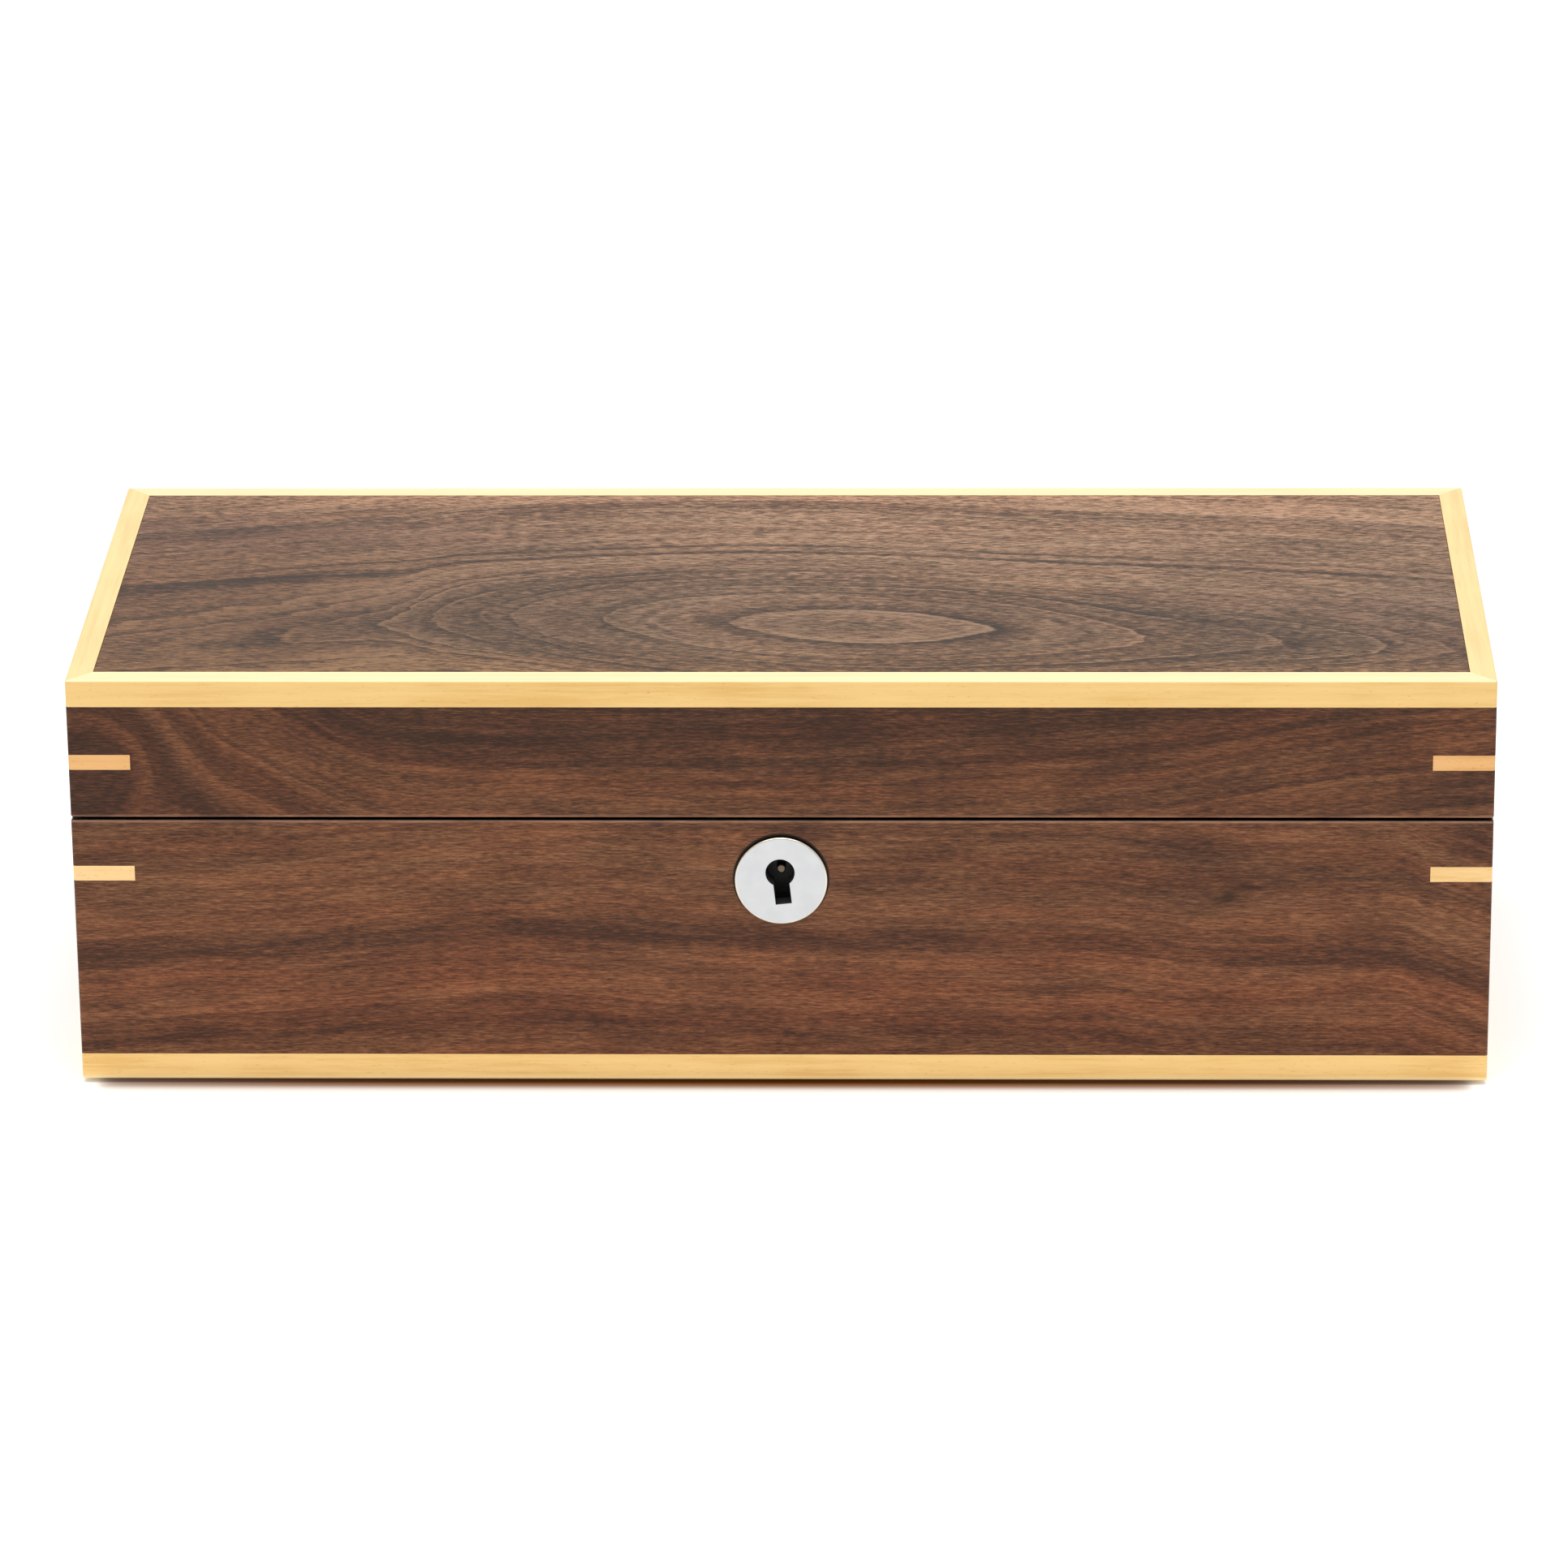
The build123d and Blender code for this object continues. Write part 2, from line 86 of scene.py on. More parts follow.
# Light: strength of the white world, then name, watts, size, place and aim of each lamp, in metres
WORLD = 0.66
LAMPS = (("top", 25.0, 1.4, (0.0, -0.15, 1.5), (0, 0, 0)),
         ("front", 0.5, 1.2, (-0.5, -1.6, 1.1), (0, 0, 0.05)))

# Half of the side of the floor, in metres
FLOOR = 5.0


def rgb(red, green, blue):
    """An sRGB colour in 0-255 as linear values."""
    linear = [c / 255 / 12.92 if c <= 10 else ((c / 255 + 0.055) / 1.055) ** 2.4 for c in (red, green, blue)]
    return (*linear, 1.0)


class Nodes:
    """Builds one node material. Values may be numbers, colours or the outputs of earlier nodes."""

    def __init__(self, name):
        self.material = bpy.data.materials.new(name)
        self.material.use_nodes = True
        self.tree = self.material.node_tree
        self.tree.nodes.clear()

    def put(self, socket, value):
        if isinstance(value, bpy.types.NodeSocket):
            self.tree.links.new(value, socket)
        else:
            socket.default_value = value

    def add(self, kind, values=(), **settings):
        node = self.tree.nodes.new(f"ShaderNode{kind}")
        for key, value in settings.items():
            setattr(node, key, value)
        for key, value in dict(values).items():
            self.put(node.inputs[key], value)
        return node

    def math(self, operation, *values, clamp=False):
        node = self.add("Math", enumerate(values), operation=operation, use_clamp=clamp)
        return node.outputs[0]

    def total(self, *terms):
        """The sum of (value, weight) terms."""
        result = 0.0
        for value, weight in terms:
            result = self.math("MULTIPLY_ADD", value, weight, result)
        return result

    def point(self, x, y, z=0.0):
        return self.add("CombineXYZ", {"X": x, "Y": y, "Z": z}).outputs[0]

    def scaled(self, value, length):
        return self.math("DIVIDE", value, length)

    def noise(self, x, y, z=0.0, detail=2.0, rough=0.5, bend=0.0):
        """A cloudy pattern of about 0.2 to 0.8, with cells of size 1."""
        values = {"Vector": self.point(x, y, z), "Scale": 1.0, "Detail": detail, "Roughness": rough}
        values["Distortion"] = bend
        return self.add("TexNoise", values).outputs["Fac"]

    def pattern(self, places, sizes, detail=2.0, rough=0.5, bend=0.0):
        """The same, with cells of the given sizes along the three axes."""
        return self.noise(*map(self.scaled, places, sizes), detail, rough, bend)

    def range(self, value, low, high, to_low=0.0, to_high=1.0, smooth=True):
        kind = "SMOOTHSTEP" if smooth else "LINEAR"
        values = {"Value": value, "From Min": low, "From Max": high, "To Min": to_low, "To Max": to_high}
        return self.add("MapRange", values, interpolation_type=kind).outputs["Result"]

    def ramp(self, value, stops):
        node = self.add("ValToRGB", {"Fac": value})
        stop = node.color_ramp.elements
        while len(stop) < len(stops):
            stop.new(0.5)
        for element, (place, colour) in zip(stop, stops):
            element.position = place
            element.color = colour if hasattr(colour, "__len__") else (colour, colour, colour, 1.0)
        return node.outputs["Color"]

    def curve(self, value, points):
        """A smooth line through (value, result) points, level beyond its two ends."""
        (x0, x1), (y0, y1) = [(min(v), max(v)) for v in zip(*points)]
        share = self.math("DIVIDE", self.math("SUBTRACT", value, x0), x1 - x0)
        node = self.add("FloatCurve", {"Value": share})
        node.mapping.extend = "HORIZONTAL"
        line = node.mapping.curves[0]
        places = [((x - x0) / (x1 - x0), (y - y0) / (y1 - y0)) for x, y in points]
        line.points[0].location, line.points[1].location = places[0], places[-1]
        for place in places[1:-1]:
            line.points.new(*place)
        for point in line.points:
            point.handle_type = "AUTO_CLAMPED"
        node.mapping.update()
        return self.math("MULTIPLY_ADD", node.outputs[0], y1 - y0, y0)

    def mix(self, factor, first, second, blend="MIX"):
        node = self.add("Mix", {"Factor": factor}, data_type="RGBA", blend_type=blend)
        self.put(node.inputs[6], first)
        self.put(node.inputs[7], second)
        return node.outputs[2]

    def tinted(self, colour, tint):
        return self.mix(1.0, colour, (*tint, 1.0), "MULTIPLY")

    def times(self, *factors):
        result = factors[0]
        for factor in factors[1:]:
            result = self.math("MULTIPLY", result, factor)
        return result

    def centred(self, pattern):
        """A pattern of 0 to 1, as -0.5 to 0.5."""
        return self.math("SUBTRACT", pattern, 0.5)

    def place(self):
        """The three coordinates of the surface point, in millimetres."""
        position = self.add("TexCoord").outputs["Object"]
        parts = self.add("SeparateXYZ", {"Vector": position})
        return [self.math("MULTIPLY", parts.outputs[i], 1000.0) for i in range(3)]

    def squared(self, x, centre, width=1.0):
        """The square of how far x is from a centre, counted in widths."""
        offset = self.math("DIVIDE", self.math("SUBTRACT", x, centre), width)
        return self.math("MULTIPLY", offset, offset)

    def distance(self, x, y, cx, cy):
        square = self.math("ADD", self.squared(x, cx), self.squared(y, cy))
        return self.math("SQRT", square)

    def bump_at(self, x, y, cx, cy, wx, wy):
        """A smooth hill of height 1 at one place."""
        square = self.math("ADD", self.squared(x, cx, wx), self.squared(y, cy, wy))
        return self.math("POWER", 2.718, self.math("MULTIPLY", square, -1.0))

    def finish(self, colour, roughness, height=None, depth=0.0, **more):
        """The surface shader. height is a pattern of 0 to 1 that stands depth millimetres high."""
        values = {"Base Color": colour, "Roughness": roughness}
        values.update({key.replace("_", " "): value for key, value in more.items()})
        shader = self.add("BsdfPrincipled", values)
        if height is not None:
            bump = self.add("Bump", {"Height": height, "Distance": depth * MM, "Strength": 1.0})
            self.put(shader.inputs["Normal"], bump.outputs[0])
        output = self.add("OutputMaterial")
        self.put(output.inputs["Surface"], shader.outputs[0])
        return self.material


# Woods

# Colours of walnut from its darkest to its lightest
WALNUT_LID = (rgb(47, 25, 16), rgb(69, 40, 26), rgb(91, 55, 35), rgb(122, 79, 51))
WALNUT_BASE = (rgb(55, 31, 21), rgb(82, 49, 32), rgb(104, 66, 43), rgb(133, 91, 61))
WALNUT_TOP = (rgb(46, 29, 18), rgb(78, 54, 35), rgb(110, 83, 60), rgb(148, 119, 95))

# Each front is drawn by two lines: how far the grain is bent down at each place along the board, and how
# light the wood is at each height of the unbent grain. All are in millimetres, apart from lightness.
LID_SHIFT = ((-153, -56), (-146, -50), (-140, -44), (-134, -36), (-126, -27), (-119, -20),
             (-110, -14.7), (-100, -8.7), (-92, -4.7), (-85, -2.3), (-75, -0.8), (-50, 0), (0, 0),
             (30, -0.7), (60, -2.2), (85, -5), (105, -8.5), (125, -12), (153, -15))
LID_TONE = ((0, 0.34), (14, 0.32), (24, 0.40), (26, 0.31), (35, 0.42), (36.8, 0.56), (38.0, 0.31),
            (43, 0.41), (49.4, 0.68), (50.8, 0.48), (52, 0.43), (54, 0.46), (58.2, 0.67),
            (59.4, 0.76), (60.4, 0.45), (61.5, 0.60), (64, 0.62), (68, 0.67), (70, 0.46),
            (71.5, 0.57), (73.4, 0.42), (74.4, 0.30), (76, 0.38), (78.5, 0.31), (80.3, 0.12),
            (82, 0.22), (84, 0.24), (88, 0.22), (100, 0.32))

# The knot at the left end of the lid's front: its middle, the height of the tone at its heart, how fast that
# rises outwards, and the distances over which its rings give way to the grain of the board
LID_KNOT = (-149.0, 72.0)
KNOT_TONE, KNOT_RISE, KNOT_REACH = 21.6, 1.1, (12.0, 27.0)

BASE_SHIFT = ((-153, 3.2), (-130, 1.7), (-110, 1), (-90, -0.8), (-70, -2.4), (-50, -3.4), (-38, -3),
              (-20, -1), (0, -0.3), (30, 0), (60, 0), (80, 1.8), (96, 3.3), (112, 3.0), (128, 2.9),
              (138, 5.6), (147, 9.0), (153, 11.5))
BASE_TONE = ((0, 0.62), (5, 0.60), (6.5, 0.54), (9, 0.48), (11.5, 0.43), (12.6, 0.38), (14, 0.46),
             (16, 0.44), (17.4, 0.46), (19, 0.66), (20.2, 0.62), (21.5, 0.54), (22.6, 0.44),
             (23.6, 0.50), (25, 0.55), (26.5, 0.58), (29.5, 0.49), (30.8, 0.44), (32.6, 0.27),
             (34.4, 0.33), (36, 0.43), (38, 0.51), (43, 0.58), (48, 0.53), (53, 0.50), (57.5, 0.55),
             (58.8, 0.46), (60, 0.52), (62, 0.48), (65, 0.42), (76, 0.36))

# The top is a flat-sawn face: pointed ovals about a line that wanders along the board. For each place along
# the board: where that line runs, the size of the oval that ends there, and the line beyond which the grain
# runs straight; then how much the ovals are flattened.
TOP_LINE = ((-150, -47), (-130, -43), (-111, -38), (-98, -33), (-87, -28.5), (-77, -24),
            (-67, -22.5), (-41, -24), (-13, -26.5), (16.5, -29.5), (46, -31.5), (78, -36),
            (107, -38.5), (132, -42), (150, -45))
TOP_SPREAD = ((-150, 41), (-128, 40.3), (-111, 39.6), (-99, 39), (-87, 38), (-77, 34.4),
              (-67, 30.6), (-58, 28), (-41, 21), (-30, 17), (-13, 10.4), (1, 4.6), (10, 1.4),
              (16.5, 0.4), (23, 1.4), (32, 4.4), (46, 10.4), (61, 15.6), (78, 20.5), (107, 25.3),
              (132, 28.8), (150, 31))
TOP_BAND = ((-150, -5), (-130, -1), (-120, 1.5), (-100, 7), (-80, 11), (-60, 14.5), (-40, 17),
            (-20, 18.5), (0, 19), (20, 17.5), (40, 14.5), (60, 12.5), (80, 10.5), (100, 8),
            (120, 5), (150, -0.5))
TOP_PINCH = ((-150, 21.5), (-120, 19), (-100, 15.8), (-80, 7.4), (-60, 1.2), (-40, 0), (0, 0),
             (20, 0), (40, 0), (60, 1.8), (80, 5.3), (100, 6.7), (120, 8.3), (150, 10.6))

# By size of oval: the edges of the growth rings, how strong they are at the left and at the right, and how
# light the wood is
TOP_RINGS = (10.5, 17.0, 20.5, 25.3, 28.7, 30.6, 34.3, 38.0, 39.7, 42.7, 44.1, 47.3, 51.8, 57.0,
             63.0, 69.0, 75.5, 79.0, 82.5, 88.0, 94.0, 101.0, 110.0)
TOP_DEPTH_LEFT = ((0, 0.9), (10.5, 0.95), (13, 0.3), (17, 0.4), (20.5, 0.5), (23, 0.12),
                  (26.5, 0.12), (28.7, 0.85), (30.6, 0.9), (34.3, 0.95), (38, 1.0), (39.7, 0.8),
                  (41, 0.7), (42.7, 0.9), (45.4, 0.9), (47.3, 1.0), (51.8, 1.0), (54, 0.35),
                  (69, 0.4), (75.5, 0.8), (79, 0.9), (82.5, 0.8), (90, 0.4), (110, 0.4))
TOP_DEPTH_RIGHT = ((0, 0.9), (10.5, 0.95), (13, 0.3), (17, 0.35), (20.5, 0.95), (25.3, 1.0),
                   (28.7, 0.85), (30.6, 0.6), (34.3, 0.55), (38, 0.3), (42.7, 0.0), (45.4, 0.2),
                   (47.3, 1.0), (51.8, 0.6), (54, 0.35), (69, 0.45), (75.5, 0.6), (79, 0.7),
                   (82.5, 0.6), (90, 0.4), (110, 0.4))
TOP_TONE = ((0, 0.70), (9.5, 0.66), (11.5, 0.44), (15, 0.50), (22, 0.46), (28, 0.45), (31, 0.50),
            (35, 0.56), (40, 0.60), (45.4, 0.60), (46.3, 0.40), (47.2, 0.20), (48.0, 0.42),
            (48.8, 0.62), (50.4, 0.60), (51.2, 0.40), (51.8, 0.32), (52.5, 0.52), (54, 0.58),
            (58, 0.60), (66, 0.57), (72, 0.56), (76, 0.47), (80, 0.43), (83, 0.58), (88, 0.64),
            (96, 0.60), (110, 0.58))

# How light a growth ring is from one edge to the next, on the inner and the outer rings, and at what size
# of oval the first turn into the second
INNER_RING = ((0.0, 0.34), (0.05, 0.14), (0.13, 0.24), (0.34, 0.46), (0.80, 0.53), (0.90, 0.66),
              (0.95, 0.92), (1.0, 0.85))
OUTER_RING = ((0.0, 0.80), (0.04, 0.68), (0.10, 0.54), (0.60, 0.48), (0.86, 0.40), (0.95, 0.14),
              (0.99, 0.12), (1.0, 0.45))
RINGS_TURN = (43.0, 48.0)

# Ovals on the top: how far out of line their ends may be, the widths over which they come to be flattened,
# and the sizes over which their outline goes from pointed to blunt, with the powers that draw it
OVAL_WANDER, OVAL_FLAT, OVAL_SIZE, OVAL_POWER = 1.8, (14.0, 42.0), (8.0, 26.0), (1.3, 1.85)

# Where on the top, along the board, the left strength of the rings turns into the right one
RINGS_MEET = (-45.0, -5.0)


def shifted(shift):
    """Grain along the board that is bent up and down by the given distances."""
    return lambda n, s, t: n.math("ADD", t, n.curve(s, shift))


def round_knot(n, s, t):
    """The lid's front: the same, but close to the knot at its left end the grain runs round it."""
    away = n.distance(s, t, *LID_KNOT)
    circle = n.math("MULTIPLY_ADD", away, KNOT_RISE, KNOT_TONE)
    swept = shifted(LID_SHIFT)(n, s, t)
    return n.math("MULTIPLY_ADD", n.range(away, *KNOT_REACH), n.math("SUBTRACT", swept, circle), circle)


def flat_sawn(n, s, t):
    """Size of the pointed oval that passes through a place on the top. Beyond TOP_BAND it grows evenly."""
    wave = n.noise(n.scaled(s, 9.0), n.scaled(t, 7.0), 4.0, 2.0, 0.6)
    wave = n.math("MULTIPLY_ADD", wave, 2 * OVAL_WANDER, -OVAL_WANDER)
    near = n.math("MINIMUM", t, n.curve(s, TOP_BAND))
    across = n.math("ABSOLUTE", n.math("SUBTRACT", near, n.curve(s, TOP_LINE)))
    pinch = n.times(n.curve(s, TOP_PINCH), n.range(across, *OVAL_FLAT, smooth=False))
    across = n.math("SUBTRACT", across, pinch)
    along = n.curve(n.math("ADD", s, wave), TOP_SPREAD)
    blunt = n.range(n.math("ADD", along, across), *OVAL_SIZE, *OVAL_POWER)
    power = n.math("ADD", n.math("POWER", along, blunt), n.math("POWER", across, blunt))
    oval = n.math("POWER", power, n.math("DIVIDE", 1.0, blunt))
    return n.math("ADD", oval, n.math("SUBTRACT", t, near))


def ring_edges(n, s, u, seed, rings, depths):
    """Edges of the growth rings, as -0.5 to 0.5. depths are their strengths at the left and the right."""
    counted = [(0, 0)] + [(place, k + 1) for k, place in enumerate(rings)]
    turn = n.math("FRACT", n.curve(u, counted))
    edge = n.mix(n.range(u, *RINGS_TURN), n.ramp(turn, INNER_RING), n.ramp(turn, OUTER_RING))
    broken = n.noise(n.scaled(s, 40.0), n.scaled(u, 5.0), seed + 7, 2.0)
    broken = n.range(broken, 0.36, 0.56, 0.4, 1.0)
    left, right = [n.curve(u, depth) for depth in depths]
    strength = n.math("MULTIPLY_ADD", n.range(s, *RINGS_MEET), n.math("SUBTRACT", right, left), left)
    return n.times(n.centred(edge), n.times(strength, broken))


def open_pores(n, s, t, u, w, seed):
    """Short dark lines along the grain, denser in some places."""
    pores = n.range(n.pattern((s, t, w), (1.9, 0.17, 0.19), 1.0), 0.56, 0.68)
    dense = n.noise(n.scaled(s, 25.0), n.scaled(u, 3.0), seed + 17, 1.0)
    return n.times(pores, n.range(dense, 0.35, 0.65, 0.35, 1.0))


def painted_seam_light(n, colour, s, t, w, side, seed, wear_and_seam_light):
    """Painted highlight on the outer face that lies at side, near a rim, and painted shade on the rim face:
    near black by the outer face and darker wood further in, so that the seam looks dark.
    """
    start, full, rim = wear_and_seam_light
    skin = n.range(n.math("ABSOLUTE", w), *[side - depth for depth in SKIN])
    # Painted highlight: the outer face is paled close to the rim
    seam_highlight = n.noise(n.scaled(s, 14.0), n.scaled(w, 3.0), seed, 3.0)
    seam_highlight = n.times(n.range(t, start, full), n.range(seam_highlight, 0.30, 0.62, 0.35, 0.85), skin, 0.55)
    colour = n.mix(seam_highlight, colour, rgb(178, 132, 106))
    # Painted shade on the rim face: near black by the outer face, darker wood further in
    seam_shade = n.tinted(colour, (0.62, 0.56, 0.52))
    return n.mix(n.range(t, full, rim), colour, n.mix(skin, seam_shade, rgb(18, 9, 7)))


def walnut(name, along, across, colours, seed, figure=None, tone=None, rings=None, depths=None,
           warp=4.5, red=0.5, fine=1.9, streaky=0.95, length=20.0, calm=None, wear_and_seam_light=(), spots=(), plate=None):
    """Lacquered walnut. along and across are the board's axes by number, and seed picks its piece of tree.

    figure says how the grain runs, and tone how light it is. rings and depths draw growth rings. warp is how
    far the grain wanders, and red how strong its reddish clouds are. fine and streaky are the strengths of
    hairs and of streaks, and length is that of a streak. calm is the stretch along the board over which
    faint streaks become full. worn gives the heights of a painted highlight near a rim and of painted shade
    on the rim that darkens the seam. spots are tinted places, and plate is a ring of painted shadow in the
    gap round the keyhole plate."""
    n = Nodes(name)
    axes = n.place()
    depth_axis = 3 - along - across
    s, t, w = axes[along], axes[across], axes[depth_axis]
    u = figure(n, s, t) if figure else t
    drift = n.noise(n.scaled(s, 90.0), n.scaled(t, 24.0), seed, 2.0)
    u = n.math("MULTIPLY_ADD", n.centred(drift), warp, u)
    ripple = n.noise(n.scaled(s, 13.0), n.scaled(t, 4.0), seed + 3, 2.0)
    u = n.math("MULTIPLY_ADD", n.centred(ripple), 1.3, u)

    deep = n.math("ADD", n.scaled(w, 9.0), seed)
    bands = n.noise(n.scaled(s, 180.0), n.scaled(u, 7.0), deep, 3.0, 0.55)
    streaks = n.noise(n.scaled(s, length), n.scaled(u, 1.4), deep, 3.0, 0.65)
    hairs = n.pattern((s, t, w), (2.8, 0.36, 0.5), 3.0, 0.72)
    cloud = n.noise(n.scaled(s, length + 2.0), n.scaled(u, 9.0), deep, 2.0)
    lively, shade = n.centred(streaks), n.curve(u, tone) if tone else 0.5
    if calm:
        lively = n.times(lively, n.range(s, *calm, 0.3, 1.0))
        shade = n.math("MULTIPLY_ADD", n.centred(shade), n.range(s, *calm, 1.0, 0.75), 0.5)
    terms = [(n.centred(bands), 0.55 if tone else 1.1), (lively, streaky), (n.centred(hairs), fine),
             (n.centred(cloud), 0.45), (shade, 1.0)]
    if rings:
        terms.append((ring_edges(n, s, u, seed, rings, depths), 0.85))
    value = n.math("ADD", n.total(*terms), 0.0, clamp=True)
    colour = n.ramp(value, list(zip((0.12, 0.36, 0.60, 0.92), colours)))
    warm = n.noise(n.scaled(s, 42.0), n.scaled(u, 6.0), seed + 11, 2.0)
    colour = n.mix(n.range(warm, 0.35, 0.68, 0.0, red), colour, n.tinted(colour, (1.15, 0.93, 0.84)))

    pores = open_pores(n, s, t, u, w, seed)
    colour = n.mix(n.times(pores, 0.55), colour, n.tinted(colour, (0.42, 0.38, 0.38)))
    for cx, cy, wide, high, strength, tint in spots:
        spot = n.times(n.bump_at(s, t, cx, cy, wide, high), strength)
        colour = n.mix(spot, colour, n.tinted(colour, tint))
    # Painted highlight near the rim and painted shade on the rim face
    if wear_and_seam_light:
        colour = painted_seam_light(n, colour, s, t, w, OUTER[depth_axis], seed, wear_and_seam_light)
    # A ring of painted shadow in the gap round the keyhole plate, wider above it
    if plate:
        px, pz, radius = plate
        gap = n.range(n.distance(s, t, px, pz), radius, radius - 0.35)
        colour = n.mix(gap, colour, rgb(18, 10, 8))

    height = n.total((hairs, 0.35), (streaks, 0.3), (pores, -0.5))
    rough = n.total((hairs, 0.10), (pores, 0.12), (0.30, 1.0))
    return n.finish(colour, rough, height, 0.04, Specular_IOR_Level=0.22,
                    Specular_Tint=(1.0, 0.86, 0.72, 1.0), Coat_Weight=0.05, Coat_Roughness=0.16,
                    Coat_IOR=1.45)


def maple(name, along, colour, seed, flecks=0.5, painted_top_light=0.0):
    """Lacquered light wood with faint grain along one axis. bleached is how far painted light pales its top
    face. Pieces with it also get a painted highlight on the arris at the foot of the box."""
    n = Nodes(name)
    axes = n.place()
    height = axes[2]
    s, t, w = axes[along], axes[(along + 1) % 3], axes[(along + 2) % 3]
    wave = n.pattern((s, t, w), (40.0, 9.0, 9.0))
    t = n.math("MULTIPLY_ADD", n.centred(wave), 2.0, t)
    deep = n.math("ADD", n.scaled(w, 1.6), seed)
    grain = n.noise(n.scaled(s, 45.0), n.scaled(t, 1.2), deep, 3.0, 0.6)
    fibre = n.pattern((s, t, w), (6.0, 0.25, 0.25))
    cloud = n.noise(n.scaled(s, 30.0), n.scaled(t, 14.0), seed + 5, 2.0)
    value = n.total((n.centred(grain), 1.3), (n.centred(fibre), 0.5), (n.centred(cloud), 1.0))
    value = n.math("ADD", value, 0.5, clamp=True)
    dark = [c * f for c, f in zip(colour[:3], (0.90, 0.82, 0.66))] + [1.0]
    light = [min(c * f, 0.97) for c, f in zip(colour[:3], (1.05, 1.07, 1.16))] + [1.0]
    shade = n.ramp(value, [(0.18, dark), (0.5, colour), (0.85, light)])
    fleck = n.pattern((s, t, w), (1.6, 0.30, 0.30), 1.0)
    fleck = n.times(n.range(fleck, 0.66, 0.76), flecks)
    shade = n.mix(fleck, shade, n.tinted(shade, (0.80, 0.62, 0.42)))
    if painted_top_light:
        # Painted light on the top face, and a painted highlight on the arris at the foot of the box
        shade = n.mix(n.range(height, *TOP_FACE, 0.0, painted_top_light), shade, rgb(248, 239, 208))
        shade = n.mix(n.range(height, *FOOT_ARRIS, 0.0, 0.6), shade, rgb(250, 232, 180))
    rough = n.total((fibre, 0.12), (0.30, 1.0))
    return n.finish(shade, rough, n.total((fibre, 0.5), (grain, 0.3)), 0.03, Specular_IOR_Level=0.45,
                    Coat_Weight=0.2, Coat_Roughness=0.15)


# Metals and cloth

def metal(name, colour, roughness, lay=None, scratch=0.03, stain=0.08, patch=0.25):
    """Plated or bare metal with fine scratches, lay being the axis that they run along."""
    n = Nodes(name)
    place = n.place()
    stretch = [0.12, 0.12, 0.12]
    if lay is not None:
        stretch[lay] = 4.0
    line = n.pattern(place, stretch, 3.0, 0.6)
    cloud = n.pattern(place, (5.0, 5.0, 5.0), 3.0)
    wear_and_seam_light = [c * (1 - 3 * stain) for c in colour[:3]] + [1.0]
    shade = n.mix(n.range(cloud, 0.35, 0.70, 0.0, 1.0), colour, wear_and_seam_light)
    rough = n.total((n.centred(line), 0.25), (n.centred(cloud), patch), (roughness, 1.0))
    return n.finish(shade, rough, line, scratch, Metallic=1.0)


def screw_metal(name, colour, places, row, face, inward):
    """Countersunk screws: painted shade in the cross recess below the face, and painted shade round each
    head. The heads are at the given places either side of the middle, all in one row."""
    n = Nodes(name)
    x, y, z = n.place()
    nearest = 1000.0
    for place in places:
        nearest = n.math("MINIMUM", nearest, n.squared(n.math("ABSOLUTE", x), place))
    away = n.math("SQRT", n.math("ADD", nearest, n.squared(y, row)))
    # Painted shade: in the cross recess below the face, and in the gap round each head
    recess_shade = n.range(z, face + inward * 0.04, face + inward * 0.14)
    dark = n.math("MAXIMUM", recess_shade, n.range(away, *SCREW_GAP_SHADE))
    line = n.pattern((x, y, z), (0.3, 0.3, 0.3), 3.0, 0.6)
    shade = n.mix(n.times(dark, 0.85), colour, rgb(40, 37, 34))
    rough = n.total((n.centred(line), 0.12), (dark, 0.25), (0.26, 1.0))
    return n.finish(shade, rough, line, 0.01, Metallic=1.0)


def escutcheon_metal():
    """Satin chrome, turned on its face. Its rim has a painted highlight; its edge and keyhole painted shade.
    """
    n = Nodes("satin_chrome")
    x, y, z = n.place()
    radius = n.distance(x, z, 0.0, PLATE_HEIGHT)
    turned = n.noise(n.scaled(radius, 0.09), 0.0, 2.0, 2.0, 0.6)
    cloud = n.noise(n.scaled(x, 4.0), n.scaled(z, 4.0), 1.0, 3.0)
    # rim is a painted highlight, edge painted shade, and keyhole painted shade inside the hole
    rim, edge = n.range(radius, *PLATE_RIM_HIGHLIGHT), n.range(radius, *PLATE_EDGE_SHADE)
    keyhole = n.times(n.range(y, *KEYHOLE_DEPTH), n.range(radius, *KEYHOLE_REACH))
    colour = n.mix(n.range(cloud, 0.3, 0.7), rgb(194, 195, 196), rgb(189, 190, 192))
    # Painted highlight on the rim, then painted shade in the keyhole and on the outer edge
    colour = n.mix(rim, colour, rgb(226, 216, 198))
    colour = n.mix(keyhole, colour, rgb(46, 44, 42))
    colour = n.mix(edge, colour, rgb(52, 44, 38))
    rough = n.total((n.centred(turned), 0.12), (n.centred(cloud), 0.04), (0.36, 1.0), (rim, 0.04),
                    (keyhole, 0.2))
    return n.finish(colour, rough, turned, 0.004, Metallic=n.math("SUBTRACT", 1.0, keyhole))


def lock_metal():
    """Zinc plate on the selvedge, and a dark sheet that is not metal below it, behind the keyhole."""
    n = Nodes("lock_plate")
    place = n.place()
    line = n.pattern(place, (4.0, 0.12, 0.5), 3.0, 0.6)
    cloud = n.pattern(place, (5.0, 5.0, 5.0), 3.0)
    inside = n.range(place[2], *BELOW_SELVEDGE)
    bright = n.mix(n.range(cloud, 0.35, 0.70), rgb(180, 182, 185), rgb(150, 152, 156))
    dark = n.mix(line, rgb(44, 43, 42), rgb(72, 70, 68))
    rough = n.total((n.centred(line), 0.25), (0.33, 1.0), (inside, 0.18))
    return n.finish(n.mix(inside, bright, dark), rough, line, 0.05, Metallic=n.math("SUBTRACT", 1.0, inside))


